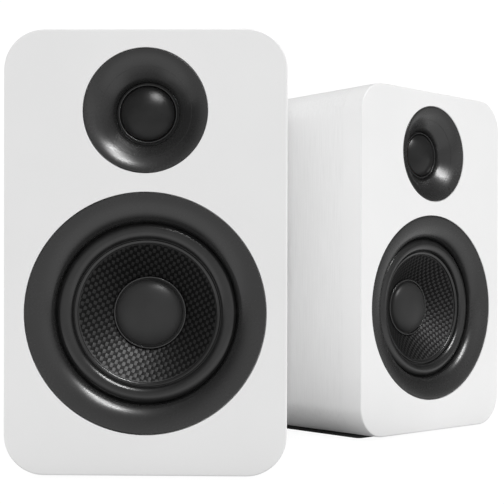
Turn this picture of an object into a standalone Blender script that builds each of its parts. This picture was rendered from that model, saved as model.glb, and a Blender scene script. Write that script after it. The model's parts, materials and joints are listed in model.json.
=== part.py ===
"""A pair of powered two-way desktop speakers: cabinets, drivers, amplifier panel and controls.

Metres, +Z up. The origin is the centre of the active speaker's base pad, on its underside. The active
speaker faces -Y. The passive speaker stands behind its right side, turned to face right.
"""

from math import cos, pi, radians, sin, sqrt

import bmesh
import bpy
from mathutils import Matrix, Vector

# Cabinet, the same for both speakers
CABINET_WIDTH = 0.140
CABINET_HEIGHT = 0.220
CABINET_DEPTH = 0.176
CORNER_RADIUS = 0.020
CORNER_SEGMENTS = 6
PAD_THICKNESS = 0.002
PAD_INSET = 0.015
WALL = 0.008
BAFFLE_THICKNESS = 0.015
REAR_PANEL_THICKNESS = 0.009
GAP = 0.0003  # clearance between neighbouring pieces
OVERSHOOT = 0.001  # how far a cutter stands proud of the face it cuts

# Where the passive speaker stands
PASSIVE_PLACE = (0.1059, 0.1576, 0.0)
PASSIVE_TURN = radians(43.5)

# Drivers: depths are measured back from the cabinet's front face
WOOFER_HEIGHT = PAD_THICKNESS + 0.080
TWEETER_HEIGHT = PAD_THICKNESS + 0.180
DRIVER_FACETS = 32
INNER_FACETS = 20
CONNECTOR_FACETS = 12

TRIM_RADIUS = 0.060
TRIM_HOLE_RADIUS = 0.046
TRIM_DEPTH = 0.007
TRIM_EDGE_THICKNESS = 0.004
TRIM_BACK_DEPTH = 0.0085
BASKET_FLANGE_RADIUS = 0.054
BASKET_FLANGE_DEPTH = 0.0103
BASKET_FLANGE_THICKNESS = 0.0025
BASKET_HOLE_RADIUS = 0.049
BASKET_MOUTH_RADIUS = 0.0465
BASKET_FLOOR_RADIUS = 0.0325
BASKET_WALL = 0.0020
BASKET_WINDOW_WIDTH = 0.025
LEDGE_DEPTH = 0.0322
ROLL_RADIUS = 0.0412
ROLL_HALF_WIDTH = 0.0040
ROLL_HEIGHT = 0.0030
ROLL_BASE_DEPTH = 0.0093
ROLL_LAND_RADIUS = 0.0525
ROLL_INNER_RADIUS = 0.0348
CONE_RIM_RADIUS = 0.0366
CONE_RIM_DEPTH = 0.0099
CONE_EDGE_RADIUS = 0.0345
CONE_EDGE_DEPTH = 0.0107
CONE_NECK_RADIUS = 0.0133
CONE_NECK_DEPTH = 0.0262
CONE_THICKNESS = 0.0010
CAP_RIM_RADIUS = 0.0185
CAP_RADIUS = 0.0172
CAP_BASE_DEPTH = 0.0216
CAP_HEIGHT = 0.0056
COIL_RADIUS = 0.0130
COIL_BOTTOM_DEPTH = 0.0500
SPIDER_DEPTH = 0.0306
SPIDER_RADIUS = 0.0335
SPIDER_WAVES = 6
SPIDER_WAVE_HEIGHT = 0.0008
BASKET_FLOOR_DEPTH = 0.0400
BASKET_BOTTOM_DEPTH = 0.0420
MOTOR_RADIUS = 0.0400
MOTOR_BORE_RADIUS = 0.0175
TOP_PLATE_RADIUS = 0.036
YOKE_RADIUS = 0.038
MOTOR_PLATE_THICKNESS = 0.005
MAGNET_THICKNESS = 0.012
WINDING_LENGTH = 0.0105

WAVEGUIDE_RADIUS = 0.031
WAVEGUIDE_THROAT_RADIUS = 0.0175
WAVEGUIDE_DEPTH = 0.011
WAVEGUIDE_BODY_RADIUS = 0.0225
WAVEGUIDE_BACK_DEPTH = 0.0145
TWEETER_BORE_RADIUS = 0.0158
DOME_RADIUS = 0.0133
DOME_BASE_DEPTH = 0.0113
DOME_HEIGHT = 0.0047
DOME_RING_RADIUS = 0.0155
TWEETER_COIL_TOP_DEPTH = 0.0121
TWEETER_COIL_BOTTOM_DEPTH = 0.0190
TWEETER_MAGNET_RADIUS = 0.0220
TWEETER_MAGNET_BACK_DEPTH = 0.0340

# Rear side
FRONT_Y = -CABINET_DEPTH / 2
REAR_Y = CABINET_DEPTH / 2
PORT_HEIGHT = 0.174
PORT_BORE_RADIUS = 0.015
PORT_MOUTH_RADIUS = 0.0195
PORT_FLANGE_RADIUS = 0.026
PORT_LENGTH = 0.070
PORT_FLANGE_THICKNESS = 0.0025
PORT_WALL = 0.002
PLATE_WIDTH = 0.104
PLATE_BOTTOM = 0.016
PLATE_TOP = 0.134
PLATE_THICKNESS = 0.002
PLATE_CORNER = 0.004
PLATE_LEDGE = 0.006
OPENING_DEPTH = 0.020
BOARD_DEPTH = 0.0146  # from the rear face forward to the circuit board

# Places on the amplifier panel, as (x, height)
KNOB_PLACE = (0.030, 0.112)
AUX_PLACE = (-0.002, 0.112)
RCA_LEFT_PLACE = (-0.036, 0.112)
RCA_RIGHT_PLACE = (-0.020, 0.112)
ACTIVE_TERMINAL_PLACE = (0.000, 0.076)
SWITCH_PLACE = (-0.028, 0.038)
INLET_PLACE = (0.022, 0.038)
PASSIVE_TERMINAL_PLACE = (0.000, 0.076)

# Controls
KNOB_RADIUS = 0.011
KNOB_LENGTH = 0.013
KNOB_CHAMFER = 0.0012
SHAFT_RADIUS = 0.003
SHAFT_END = 0.0105
BUSH_RADIUS = 0.0042
POT_RADIUS = 0.0080
TERMINAL_WIDTH = 0.044
TERMINAL_HEIGHT = 0.028
LEVER_SPACING = 0.018
LEVER_WIDTH = 0.0126
LEVER_SLOT_WIDTH = 0.014
LEVER_SLOT_HEIGHT = 0.019
LEVER_PIVOT_DROP = 0.006
LEVER_TILT = radians(20)
ROCKER_TILT = radians(8)
ROCKER_WIDTH = 0.0098
ROCKER_HALF_LENGTH = 0.0083
BEZEL_THICKNESS = 0.0020
CORE_DEPTH = 0.0170
JACK_BACK = 0.0143
PIN_SPACING = 0.0084


# ---------------------------------------------------------------- scene and materials


def clear_scene():
    for old in list(bpy.data.objects):
        bpy.data.objects.remove(old, do_unlink=True)


def new_collection(name):
    collection = bpy.data.collections.new(name)
    bpy.context.scene.collection.children.link(collection)
    return collection


def new_material(name, colour, roughness, metallic=0.0):
    material = bpy.data.materials.new(name)
    material.use_nodes = True
    shader = material.node_tree.nodes["Principled BSDF"]
    shader.inputs["Base Color"].default_value = (*colour, 1.0)
    shader.inputs["Roughness"].default_value = roughness
    shader.inputs["Metallic"].default_value = metallic
    return material


clear_scene()
PARTS = new_collection("desktop_speakers")
CUTTERS = new_collection("cutters")

WHITE_PAINT = new_material("white_paint", (0.86, 0.86, 0.86), 0.42)
GREY_PLASTIC = new_material("dark_grey_plastic", (0.052, 0.052, 0.054), 0.38)
BLACK_PLASTIC = new_material("black_plastic", (0.018, 0.018, 0.019), 0.45)
BLACK_RUBBER = new_material("black_rubber", (0.030, 0.030, 0.031), 0.60)
WOVEN_CONE = new_material("woven_cone", (0.040, 0.040, 0.042), 0.50)
CAP_PLASTIC = new_material("soft_grey_cap", (0.048, 0.048, 0.050), 0.55)
DOME_SILK = new_material("coated_silk", (0.035, 0.035, 0.036), 0.45)
BASKET_STEEL = new_material("black_steel", (0.030, 0.030, 0.032), 0.50, 0.6)
ZINC_STEEL = new_material("zinc_steel", (0.62, 0.63, 0.65), 0.35, 1.0)
FERRITE = new_material("ferrite", (0.070, 0.070, 0.075), 0.70)
COPPER = new_material("copper_winding", (0.72, 0.36, 0.20), 0.40, 1.0)
SPIDER_CLOTH = new_material("spider_cloth", (0.55, 0.42, 0.22), 0.90)
PANEL_METAL = new_material("black_panel", (0.035, 0.035, 0.037), 0.45, 0.7)
NICKEL = new_material("nickel", (0.75, 0.73, 0.70), 0.25, 1.0)
CIRCUIT_GREEN = new_material("circuit_board", (0.030, 0.200, 0.080), 0.50)
LEVER_RED = new_material("red_plastic", (0.550, 0.030, 0.030), 0.40)
CORE_STEEL = new_material("transformer_core", (0.300, 0.300, 0.310), 0.50, 0.8)


# ---------------------------------------------------------------- modelling helpers


def add_object(name, data, parent, material=None, collection=None):
    obj = bpy.data.objects.new(name, data)
    (collection or PARTS).objects.link(obj)
    obj.parent = parent
    if material:
        obj.data.materials.append(material)
    return obj


def add_empty(name, parent=None, location=(0, 0, 0), rotation=(0, 0, 0)):
    empty = add_object(name, None, parent)
    empty.location = location
    empty.rotation_euler = rotation
    empty.empty_display_size = 0.02
    return empty


def shade(mesh, angle=radians(35)):
    mesh.shade_smooth()
    mesh.set_sharp_from_angle(angle=angle)


def turned(name, outline, facets, parent, material=None, collection=None):
    """A piece turned about its local Z. The outline holds (radius, z) points and is closed for a ring."""
    on_axis = outline[0][0] == 0 and outline[-1][0] == 0
    pairs = zip(outline, outline[1:] + outline[:1])
    turn = sum(a[0] * b[1] - b[0] * a[1] for a, b in pairs)
    points = outline if turn < 0 else outline[::-1]
    mesh = bpy.data.meshes.new(name)
    edges = [(i, i + 1) for i in range(len(points) - 1)]
    if not on_axis:
        edges.append((len(points) - 1, 0))
    mesh.from_pydata([(r, 0, z) for r, z in points], edges, [])
    obj = add_object(name, mesh, parent, material, collection)
    screw = obj.modifiers.new("Turn", "SCREW")
    screw.steps = facets
    screw.render_steps = facets
    screw.use_merge_vertices = True
    screw.merge_threshold = 0.00001
    screw.use_smooth_shade = False
    return obj


def block(name, low, high, parent, material=None, radius=0.0, segments=3, collection=None):
    """A box between two corners. A radius rounds the four edges that run front to back."""
    mesh = bpy.data.meshes.new(name)
    size = Vector(high) - Vector(low)
    middle = (Vector(high) + Vector(low)) / 2
    shape = bmesh.new()
    bmesh.ops.create_cube(shape, size=1.0, matrix=Matrix.Diagonal((*size, 1.0)))
    if radius:
        along_y = [e for e in shape.edges if abs(e.verts[0].co.y - e.verts[1].co.y) > size.y / 2]
        bmesh.ops.bevel(shape, geom=along_y, offset=radius, segments=segments, profile=0.5, affect="EDGES")
    shape.to_mesh(mesh)
    shape.free()
    obj = add_object(name, mesh, parent, material, collection)
    obj.location = middle
    return obj


def cutter(name, low, high, parent, radius=0.0):
    """A box that cuts or joins, and isn't a piece itself."""
    return block(name, low, high, parent, radius=radius, collection=CUTTERS)


def extruded(name, outline, width, parent, material):
    """A flat (y, z) outline drawn out along X, centred on its own origin."""
    curve = bpy.data.curves.new(name + "_outline", "CURVE")
    curve.dimensions = "2D"
    curve.fill_mode = "BOTH"
    curve.extrude = width / 2
    spline = curve.splines.new("POLY")
    spline.points.add(len(outline) - 1)
    for point, (y, z) in zip(spline.points, outline):
        point.co = (y, z, 0, 1)
    spline.use_cyclic_u = True
    drawn = add_object(name + "_outline", curve, None, None, CUTTERS)
    bpy.context.view_layer.update()
    graph = bpy.context.evaluated_depsgraph_get()
    mesh = bpy.data.meshes.new_from_object(drawn.evaluated_get(graph))
    bpy.data.objects.remove(drawn)
    shape = bmesh.new()
    shape.from_mesh(mesh)
    bmesh.ops.remove_doubles(shape, verts=shape.verts, dist=0.00001)
    # The outline was drawn in the curve's X and Y: turn X to Y, Y to Z and Z to X.
    upright = Matrix(((0, 0, 1), (1, 0, 0), (0, 1, 0))).to_4x4()
    bmesh.ops.transform(shape, matrix=upright, verts=shape.verts)
    bmesh.ops.recalc_face_normals(shape, faces=shape.faces)
    shape.to_mesh(mesh)
    shape.free()
    mesh.name = name
    mesh.materials.clear()
    return add_object(name, mesh, parent, material)


def as_cutter(obj):
    obj.hide_render = True
    obj.display_type = "WIRE"


def boolean(target, tool, operation):
    as_cutter(tool)
    modifier = target.modifiers.new(operation.title(), "BOOLEAN")
    modifier.operation = operation
    modifier.object = tool


def cut(target, tool):
    boolean(target, tool, "DIFFERENCE")


def join(target, tool):
    boolean(target, tool, "UNION")


def arc(centre, half_width, height, start, end, steps):
    """Points (radius, z) on an ellipse about a centre, between two angles in degrees from +radius to +z."""
    angles = [radians(start + (end - start) * i / steps) for i in range(steps + 1)]
    return [(centre[0] + half_width * cos(a), centre[1] + height * sin(a)) for a in angles]


def cap_arc(rim_radius, base_z, height, steps):
    """Points from the crown on the axis down to the rim of a spherical cap."""
    sphere = (rim_radius**2 + height**2) / (2 * height)
    radii = [rim_radius * i / steps for i in range(steps + 1)]
    return [(r, base_z + height - sphere + sqrt(sphere**2 - r**2)) for r in radii]


def tilted(points, angle):
    return [(y * cos(angle) - z * sin(angle), y * sin(angle) + z * cos(angle)) for y, z in points]


# ---------------------------------------------------------------- cabinet


def base_pad(side, origin):
    half_x = CABINET_WIDTH / 2 - PAD_INSET
    half_y = CABINET_DEPTH / 2 - PAD_INSET
    low = (-half_x, -half_y, 0)
    high = (half_x, half_y, PAD_THICKNESS - GAP)
    block(f"{side}_base_pad", low, high, origin, BLACK_RUBBER)


def cabinet_wrap(side, origin):
    """The rounded sleeve of sides, top and bottom: an open surface given its wall thickness."""
    low = (-CABINET_WIDTH / 2, FRONT_Y + BAFFLE_THICKNESS + GAP, PAD_THICKNESS)
    high = (CABINET_WIDTH / 2, REAR_Y, PAD_THICKNESS + CABINET_HEIGHT)
    wrap = block(f"{side}_cabinet_wrap", low, high, origin, WHITE_PAINT, CORNER_RADIUS, CORNER_SEGMENTS)
    shape = bmesh.new()
    shape.from_mesh(wrap.data)
    ends = [face for face in shape.faces if abs(face.normal.y) > 0.5]
    bmesh.ops.delete(shape, geom=ends, context="FACES_ONLY")
    shape.to_mesh(wrap.data)
    shape.free()
    solidify = wrap.modifiers.new("Wall", "SOLIDIFY")
    solidify.thickness = WALL
    solidify.offset = -1
    solidify.use_even_offset = True


def driver_hole(name, steps, height, origin):
    """A stepped round cutter for the baffle. steps holds (radius, depth), from the front face back."""
    outline = [(0, OVERSHOOT), (steps[0][0], OVERSHOOT)]
    for (radius, depth), (next_radius, _) in zip(steps, steps[1:]):
        outline += [(radius, -depth), (next_radius, -depth)]
    through = -BAFFLE_THICKNESS - OVERSHOOT
    outline += [(steps[-1][0], through), (0, through)]
    hole = turned(name, outline, DRIVER_FACETS, origin, None, CUTTERS)
    hole.location = (0, FRONT_Y, height)
    hole.rotation_euler = (pi / 2, 0, 0)
    return hole


def front_baffle(side, origin):
    low = (-CABINET_WIDTH / 2, FRONT_Y, PAD_THICKNESS)
    high = (CABINET_WIDTH / 2, FRONT_Y + BAFFLE_THICKNESS, PAD_THICKNESS + CABINET_HEIGHT)
    baffle = block(f"{side}_front_baffle", low, high, origin, WHITE_PAINT, CORNER_RADIUS, CORNER_SEGMENTS)
    flange_seat = BASKET_FLANGE_DEPTH + BASKET_FLANGE_THICKNESS + GAP
    woofer_steps = [
        (TRIM_RADIUS, TRIM_EDGE_THICKNESS + GAP),
        (BASKET_FLANGE_RADIUS + 0.0005, flange_seat),
        (BASKET_HOLE_RADIUS, 0),
    ]
    tweeter_steps = [(WAVEGUIDE_RADIUS, TRIM_EDGE_THICKNESS + GAP), (WAVEGUIDE_BODY_RADIUS + 0.0008, 0)]
    cut(baffle, driver_hole(f"{side}_woofer_hole", woofer_steps, WOOFER_HEIGHT, origin))
    cut(baffle, driver_hole(f"{side}_tweeter_hole", tweeter_steps, TWEETER_HEIGHT, origin))


def rear_panel(side, origin):
    """The panel let into the back of the sleeve, with a hole for the port."""
    half = CABINET_WIDTH / 2 - WALL - GAP
    bottom = PAD_THICKNESS + WALL + GAP
    top = PAD_THICKNESS + CABINET_HEIGHT - WALL - GAP
    low = (-half, REAR_Y - REAR_PANEL_THICKNESS, bottom)
    high = (half, REAR_Y, top)
    radius = CORNER_RADIUS - WALL - GAP
    panel = block(f"{side}_rear_panel", low, high, origin, WHITE_PAINT, radius, 4)
    through = -REAR_PANEL_THICKNESS - OVERSHOOT
    hole_radius = PORT_MOUTH_RADIUS + 0.0024
    outline = [(0, OVERSHOOT), (hole_radius, OVERSHOOT), (hole_radius, through), (0, through)]
    hole = turned(f"{side}_port_hole", outline, INNER_FACETS, origin, None, CUTTERS)
    hole.location = (0, REAR_Y, PORT_HEIGHT)
    hole.rotation_euler = (-pi / 2, 0, 0)
    cut(panel, hole)
    return panel


def port_tube(side, origin):
    """The bass port: a flared mouth with a flange on the panel, and a plain tube behind it."""
    flare_centre = (PORT_MOUTH_RADIUS + 0.0025, -0.0125)
    bore = arc(flare_centre, 0.007, 0.0150, 180, 90, 3)
    bore[-1] = (flare_centre[0], PORT_FLANGE_THICKNESS)
    mouth, tube_outside = PORT_MOUTH_RADIUS + PORT_WALL, PORT_BORE_RADIUS + PORT_WALL
    outline = [(PORT_BORE_RADIUS, -PORT_LENGTH)] + bore
    outline += [(PORT_FLANGE_RADIUS, PORT_FLANGE_THICKNESS), (PORT_FLANGE_RADIUS, GAP)]
    outline += [(mouth, GAP), (mouth, -0.002)]
    outline += [(tube_outside, -0.012), (tube_outside, -PORT_LENGTH)]
    tube = turned(f"{side}_port_tube", outline, INNER_FACETS, origin, BLACK_PLASTIC)
    tube.location = (0, REAR_Y, PORT_HEIGHT)
    tube.rotation_euler = (-pi / 2, 0, 0)


# ---------------------------------------------------------------- woofer


def woofer_trim_ring(side, centre):
    """The visible ring: flush with the face at its rim, rolling back to the edge of its hole."""
    rim = TRIM_RADIUS - GAP
    bend = arc((TRIM_RADIUS, -TRIM_DEPTH), TRIM_RADIUS - TRIM_HOLE_RADIUS, TRIM_DEPTH, 90, 180, 5)
    outline = [(rim, 0)] + bend[1:]
    outline += [(TRIM_HOLE_RADIUS, -TRIM_BACK_DEPTH), (BASKET_FLANGE_RADIUS, -TRIM_BACK_DEPTH)]
    outline += [(BASKET_FLANGE_RADIUS, -TRIM_EDGE_THICKNESS), (rim, -TRIM_EDGE_THICKNESS)]
    turned(f"{side}_woofer_trim_ring", outline, DRIVER_FACETS, centre, GREY_PLASTIC)


def woofer_basket(side, centre):
    """The driver's frame: front flange, sloping legs between windows, spider ledge and floor."""
    flange = -BASKET_FLANGE_DEPTH
    under = flange - BASKET_FLANGE_THICKNESS
    floor = -BASKET_FLOOR_DEPTH
    bottom = -BASKET_BOTTOM_DEPTH
    ledge_radius = BASKET_FLOOR_RADIUS + BASKET_WALL
    outline = [(BASKET_FLANGE_RADIUS, flange), (BASKET_FLANGE_RADIUS, under), (0.0484, under)]
    outline += [(ledge_radius + BASKET_WALL, -0.0335), (ledge_radius, bottom), (MOTOR_BORE_RADIUS, bottom)]
    outline += [(MOTOR_BORE_RADIUS, floor), (BASKET_FLOOR_RADIUS, floor)]
    outline += [(BASKET_FLOOR_RADIUS, -LEDGE_DEPTH), (ledge_radius, -LEDGE_DEPTH)]
    outline += [(BASKET_MOUTH_RADIUS, under), (BASKET_MOUTH_RADIUS, flange)]
    basket = turned(f"{side}_woofer_basket", outline, INNER_FACETS, centre, BASKET_STEEL)
    low = (-BASKET_WINDOW_WIDTH / 2, -0.060, -0.0290)
    high = (BASKET_WINDOW_WIDTH / 2, 0.060, -0.0165)
    for number in range(3):
        window = cutter(f"{side}_basket_window_{number}", low, high, centre)
        window.rotation_euler = (0, 0, radians(60 * number + 30))
        cut(basket, window)


def woofer_surround(side, centre):
    """The rubber roll between cone and basket, with its glue lands."""
    base = -ROLL_BASE_DEPTH
    thickness = 0.0006
    under = base - thickness
    front = arc((ROLL_RADIUS, base), ROLL_HALF_WIDTH, ROLL_HEIGHT, 0, 180, 4)
    back = arc((ROLL_RADIUS, under), ROLL_HALF_WIDTH - thickness, ROLL_HEIGHT - thickness, 180, 0, 4)
    outline = [(ROLL_LAND_RADIUS, under), (ROLL_LAND_RADIUS, base)] + front
    outline += [(0.0360, base + 0.0002)]
    outline += [(ROLL_INNER_RADIUS, base - 0.0004), (ROLL_INNER_RADIUS, base - 0.0009)]
    outline += [(0.0360, base - 0.0003), (0.0368, base - 0.0003)] + back
    turned(f"{side}_woofer_surround", outline, DRIVER_FACETS, centre, BLACK_RUBBER)


def woofer_cone(side, centre):
    front = [(CONE_RIM_RADIUS, -CONE_RIM_DEPTH), (CONE_EDGE_RADIUS, -CONE_EDGE_DEPTH)]
    front += [(CONE_NECK_RADIUS, -CONE_NECK_DEPTH)]
    back = [(r, z - CONE_THICKNESS) for r, z in reversed(front)]
    turned(f"{side}_woofer_cone", front + back, DRIVER_FACETS, centre, WOVEN_CONE)


def woofer_dust_cap(side, centre):
    """The domed cap over the cone's neck, with a narrow flat rim."""
    thickness = 0.0005
    crown = cap_arc(CAP_RADIUS, -CAP_BASE_DEPTH, CAP_HEIGHT, 3)
    inside = cap_arc(CAP_RADIUS - thickness, -CAP_BASE_DEPTH - thickness, CAP_HEIGHT, 3)
    rim = [(CAP_RIM_RADIUS, -CAP_BASE_DEPTH), (CAP_RIM_RADIUS, -CAP_BASE_DEPTH - thickness)]
    turned(f"{side}_woofer_dust_cap", crown + rim + inside[::-1], INNER_FACETS, centre, CAP_PLASTIC)


def woofer_voice_coil(side, centre):
    """A thin former with a thicker winding at its lower end."""
    inner = COIL_RADIUS - 0.0008
    former = COIL_RADIUS - 0.0004
    bottom = -COIL_BOTTOM_DEPTH
    winding_top = bottom + WINDING_LENGTH
    top = -CONE_NECK_DEPTH - 0.0006
    outline = [(inner, top), (former, top), (former, winding_top), (COIL_RADIUS, winding_top)]
    outline += [(COIL_RADIUS, bottom), (inner, bottom)]
    turned(f"{side}_woofer_voice_coil", outline, INNER_FACETS, centre, COPPER)


def woofer_spider(side, centre):
    """The corrugated disc that centres the voice coil."""
    half_thickness = 0.00025
    inner = COIL_RADIUS + GAP
    step = (SPIDER_RADIUS - inner) / SPIDER_WAVES
    rises = [SPIDER_WAVE_HEIGHT * (-1) ** i for i in range(SPIDER_WAVES + 1)]
    middle = [(inner + step * i, -SPIDER_DEPTH + rise) for i, rise in enumerate(rises)]
    middle[0] = (inner, -SPIDER_DEPTH)
    middle[-1] = (SPIDER_RADIUS, -SPIDER_DEPTH - SPIDER_WAVE_HEIGHT)
    top = [(r, z + half_thickness) for r, z in middle]
    bottom = [(r, z - half_thickness) for r, z in reversed(middle)]
    turned(f"{side}_woofer_spider", top + bottom, INNER_FACETS, centre, SPIDER_CLOTH)


def flat_ring(name, inner, outer, top, bottom, centre, material):
    outline = [(outer, top), (outer, bottom), (inner, bottom), (inner, top)]
    turned(name, outline, INNER_FACETS, centre, material)


def woofer_motor(side, centre):
    """Top plate, ferrite ring, and a yoke whose pole reaches up through both."""
    plate_top = -BASKET_BOTTOM_DEPTH - GAP
    plate_bottom = plate_top - MOTOR_PLATE_THICKNESS
    magnet_top = plate_bottom - GAP
    magnet_bottom = magnet_top - MAGNET_THICKNESS
    yoke_top = magnet_bottom - GAP
    yoke_bottom = yoke_top - MOTOR_PLATE_THICKNESS
    plate = (COIL_RADIUS + 0.0005, TOP_PLATE_RADIUS, plate_top, plate_bottom)
    magnet = (MOTOR_BORE_RADIUS, MOTOR_RADIUS, magnet_top, magnet_bottom)
    flat_ring(f"{side}_woofer_top_plate", *plate, centre, ZINC_STEEL)
    flat_ring(f"{side}_woofer_magnet", *magnet, centre, FERRITE)
    pole = COIL_RADIUS - 0.0012
    outline = [(0, plate_top), (pole, plate_top), (pole, yoke_top)]
    outline += [(YOKE_RADIUS, yoke_top), (YOKE_RADIUS, yoke_bottom), (0, yoke_bottom)]
    turned(f"{side}_woofer_yoke", outline, INNER_FACETS, centre, ZINC_STEEL)


def woofer(side, origin):
    centre = add_empty(f"{side}_woofer_axis", origin, (0, FRONT_Y, WOOFER_HEIGHT), (pi / 2, 0, 0))
    woofer_trim_ring(side, centre)
    woofer_basket(side, centre)
    woofer_surround(side, centre)
    woofer_cone(side, centre)
    woofer_dust_cap(side, centre)
    woofer_voice_coil(side, centre)
    woofer_spider(side, centre)
    woofer_motor(side, centre)


# ---------------------------------------------------------------- tweeter


def tweeter_waveguide(side, centre):
    """The round horn plate: flush at its rim, curving back to the throat around the dome."""
    rim = WAVEGUIDE_RADIUS - GAP
    back, edge, neck = -WAVEGUIDE_BACK_DEPTH, -TRIM_EDGE_THICKNESS, -0.0125
    width = WAVEGUIDE_RADIUS - WAVEGUIDE_THROAT_RADIUS
    horn = arc((WAVEGUIDE_RADIUS, -WAVEGUIDE_DEPTH), width, WAVEGUIDE_DEPTH, 90, 180, 5)
    outline = [(rim, 0)] + horn[1:]
    outline += [(0.0172, neck), (TWEETER_BORE_RADIUS, neck), (TWEETER_BORE_RADIUS, back)]
    outline += [(WAVEGUIDE_BODY_RADIUS, back), (WAVEGUIDE_BODY_RADIUS, edge), (rim, edge)]
    turned(f"{side}_tweeter_waveguide", outline, DRIVER_FACETS, centre, GREY_PLASTIC)


def tweeter_dome(side, centre):
    thickness = 0.0004
    outside = cap_arc(DOME_RADIUS, -DOME_BASE_DEPTH, DOME_HEIGHT, 3)
    inside = cap_arc(DOME_RADIUS - thickness, -DOME_BASE_DEPTH - thickness, DOME_HEIGHT, 3)
    turned(f"{side}_tweeter_dome", outside + inside[::-1], INNER_FACETS, centre, DOME_SILK)


def tweeter_surround(side, centre):
    """The small half roll round the dome and the ring that it stands on."""
    inner = DOME_RADIUS + GAP
    wall = DOME_RING_RADIUS - 0.0004
    crown = 0.0144
    outline = [(inner, -0.0116), (inner, -0.0112), (crown, -0.0106), (DOME_RING_RADIUS, -0.0108)]
    outline += [(DOME_RING_RADIUS, -WAVEGUIDE_BACK_DEPTH), (wall, -WAVEGUIDE_BACK_DEPTH)]
    outline += [(wall, -0.0114), (crown, -0.0111)]
    turned(f"{side}_tweeter_surround", outline, INNER_FACETS, centre, BLACK_RUBBER)


def tweeter_motor(side, centre):
    """The dome's voice coil, and the steel cup whose slot it moves in."""
    coil = (0.0124, 0.0130, -TWEETER_COIL_TOP_DEPTH, -TWEETER_COIL_BOTTOM_DEPTH)
    flat_ring(f"{side}_tweeter_voice_coil", *coil, centre, COPPER)
    front, slot, back = -WAVEGUIDE_BACK_DEPTH - GAP, -0.0225, -TWEETER_MAGNET_BACK_DEPTH
    outline = [(0, front), (0.0119, front), (0.0119, slot), (0.0135, slot), (0.0135, front)]
    outline += [(TWEETER_MAGNET_RADIUS, front), (TWEETER_MAGNET_RADIUS, back), (0, back)]
    turned(f"{side}_tweeter_magnet_cup", outline, INNER_FACETS, centre, ZINC_STEEL)


def tweeter(side, origin):
    centre = add_empty(f"{side}_tweeter_axis", origin, (0, FRONT_Y, TWEETER_HEIGHT), (pi / 2, 0, 0))
    tweeter_waveguide(side, centre)
    tweeter_dome(side, centre)
    tweeter_surround(side, centre)
    tweeter_motor(side, centre)


# ---------------------------------------------------------------- speaker terminals


def terminal_block(side, place, origin):
    """A flanged block with two slots, each with a spring lever pivoted near its foot."""
    x, z = place
    half_width, half_height = TERMINAL_WIDTH / 2, TERMINAL_HEIGHT / 2
    low = (x - half_width, REAR_Y + GAP, z - half_height)
    high = (x + half_width, REAR_Y + 0.0028, z + half_height)
    body = block(f"{side}_terminal_block", low, high, origin, BLACK_PLASTIC, 0.003)
    low = (x - half_width + 0.003, REAR_Y - 0.0137, z - half_height + 0.003)
    high = (x + half_width - 0.003, REAR_Y + 0.0015, z + half_height - 0.003)
    join(body, cutter(f"{side}_terminal_core", low, high, origin))
    slot_x, slot_z = LEVER_SLOT_WIDTH / 2, LEVER_SLOT_HEIGHT / 2
    for shift in (-LEVER_SPACING / 2, LEVER_SPACING / 2):
        low = (x + shift - slot_x, REAR_Y - 0.0100, z - slot_z)
        high = (x + shift + slot_x, REAR_Y + 0.0040, z + slot_z)
        cut(body, cutter(f"{side}_terminal_slot", low, high, origin))


def terminal_lever(side, colour, shift, material, place, origin):
    """A thumb lever that leans out of its slot and pivots in when pressed."""
    foot_radius = 0.0018
    outline = arc((0, 0), foot_radius, foot_radius, 180, 360, 5)
    outline += [(foot_radius, 0.0095), (0.0030, 0.0120), (0.0026, 0.0132), (0.0004, 0.0132)]
    outline += [(-foot_radius, 0.0110)]
    outline = tilted(outline, -LEVER_TILT)
    lever = extruded(f"{side}_terminal_lever_{colour}", outline, LEVER_WIDTH, origin, material)
    lever.location = (place[0] + shift, REAR_Y - 0.0022, place[1] - LEVER_PIVOT_DROP)


def terminals(side, place, origin):
    terminal_block(side, place, origin)
    terminal_lever(side, "red", -LEVER_SPACING / 2, LEVER_RED, place, origin)
    terminal_lever(side, "black", LEVER_SPACING / 2, BLACK_PLASTIC, place, origin)


def terminal_opening(side, place, panel, origin):
    x, z = place
    half_width, half_height = TERMINAL_WIDTH / 2 - 0.0025, TERMINAL_HEIGHT / 2 - 0.0025
    low = (x - half_width, REAR_Y - OPENING_DEPTH, z - half_height)
    high = (x + half_width, REAR_Y + OVERSHOOT, z + half_height)
    cut(panel, cutter(f"{side}_terminal_opening", low, high, origin))


# ---------------------------------------------------------------- amplifier panel


def rear_round(name, outline, place, origin, material=None, collection=None):
    """A turned piece on an axis that points out of the back. z = 0 is the rear face."""
    piece = turned(name, outline, CONNECTOR_FACETS, origin, material, collection)
    piece.location = (place[0], REAR_Y, place[1])
    piece.rotation_euler = (-pi / 2, 0, 0)
    return piece


def round_hole(name, radius, place, origin):
    through = -2 * PLATE_THICKNESS
    outline = [(0, OVERSHOOT), (radius, OVERSHOOT), (radius, through), (0, through)]
    return rear_round(name, outline, place, origin, None, CUTTERS)


def panel_opening(panel, origin):
    """The rear panel's rebate and cut-out for the amplifier plate."""
    half = PLATE_WIDTH / 2 + GAP
    low = (-half, REAR_Y - PLATE_THICKNESS - GAP, PLATE_BOTTOM - GAP)
    high = (half, REAR_Y + OVERSHOOT, PLATE_TOP + GAP)
    cut(panel, cutter("amp_plate_rebate", low, high, origin, PLATE_CORNER + GAP))
    low = (-half + PLATE_LEDGE, REAR_Y - OPENING_DEPTH, PLATE_BOTTOM + PLATE_LEDGE)
    high = (half - PLATE_LEDGE, REAR_Y + OVERSHOOT, PLATE_TOP - PLATE_LEDGE)
    cut(panel, cutter("amp_plate_opening", low, high, origin))


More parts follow.
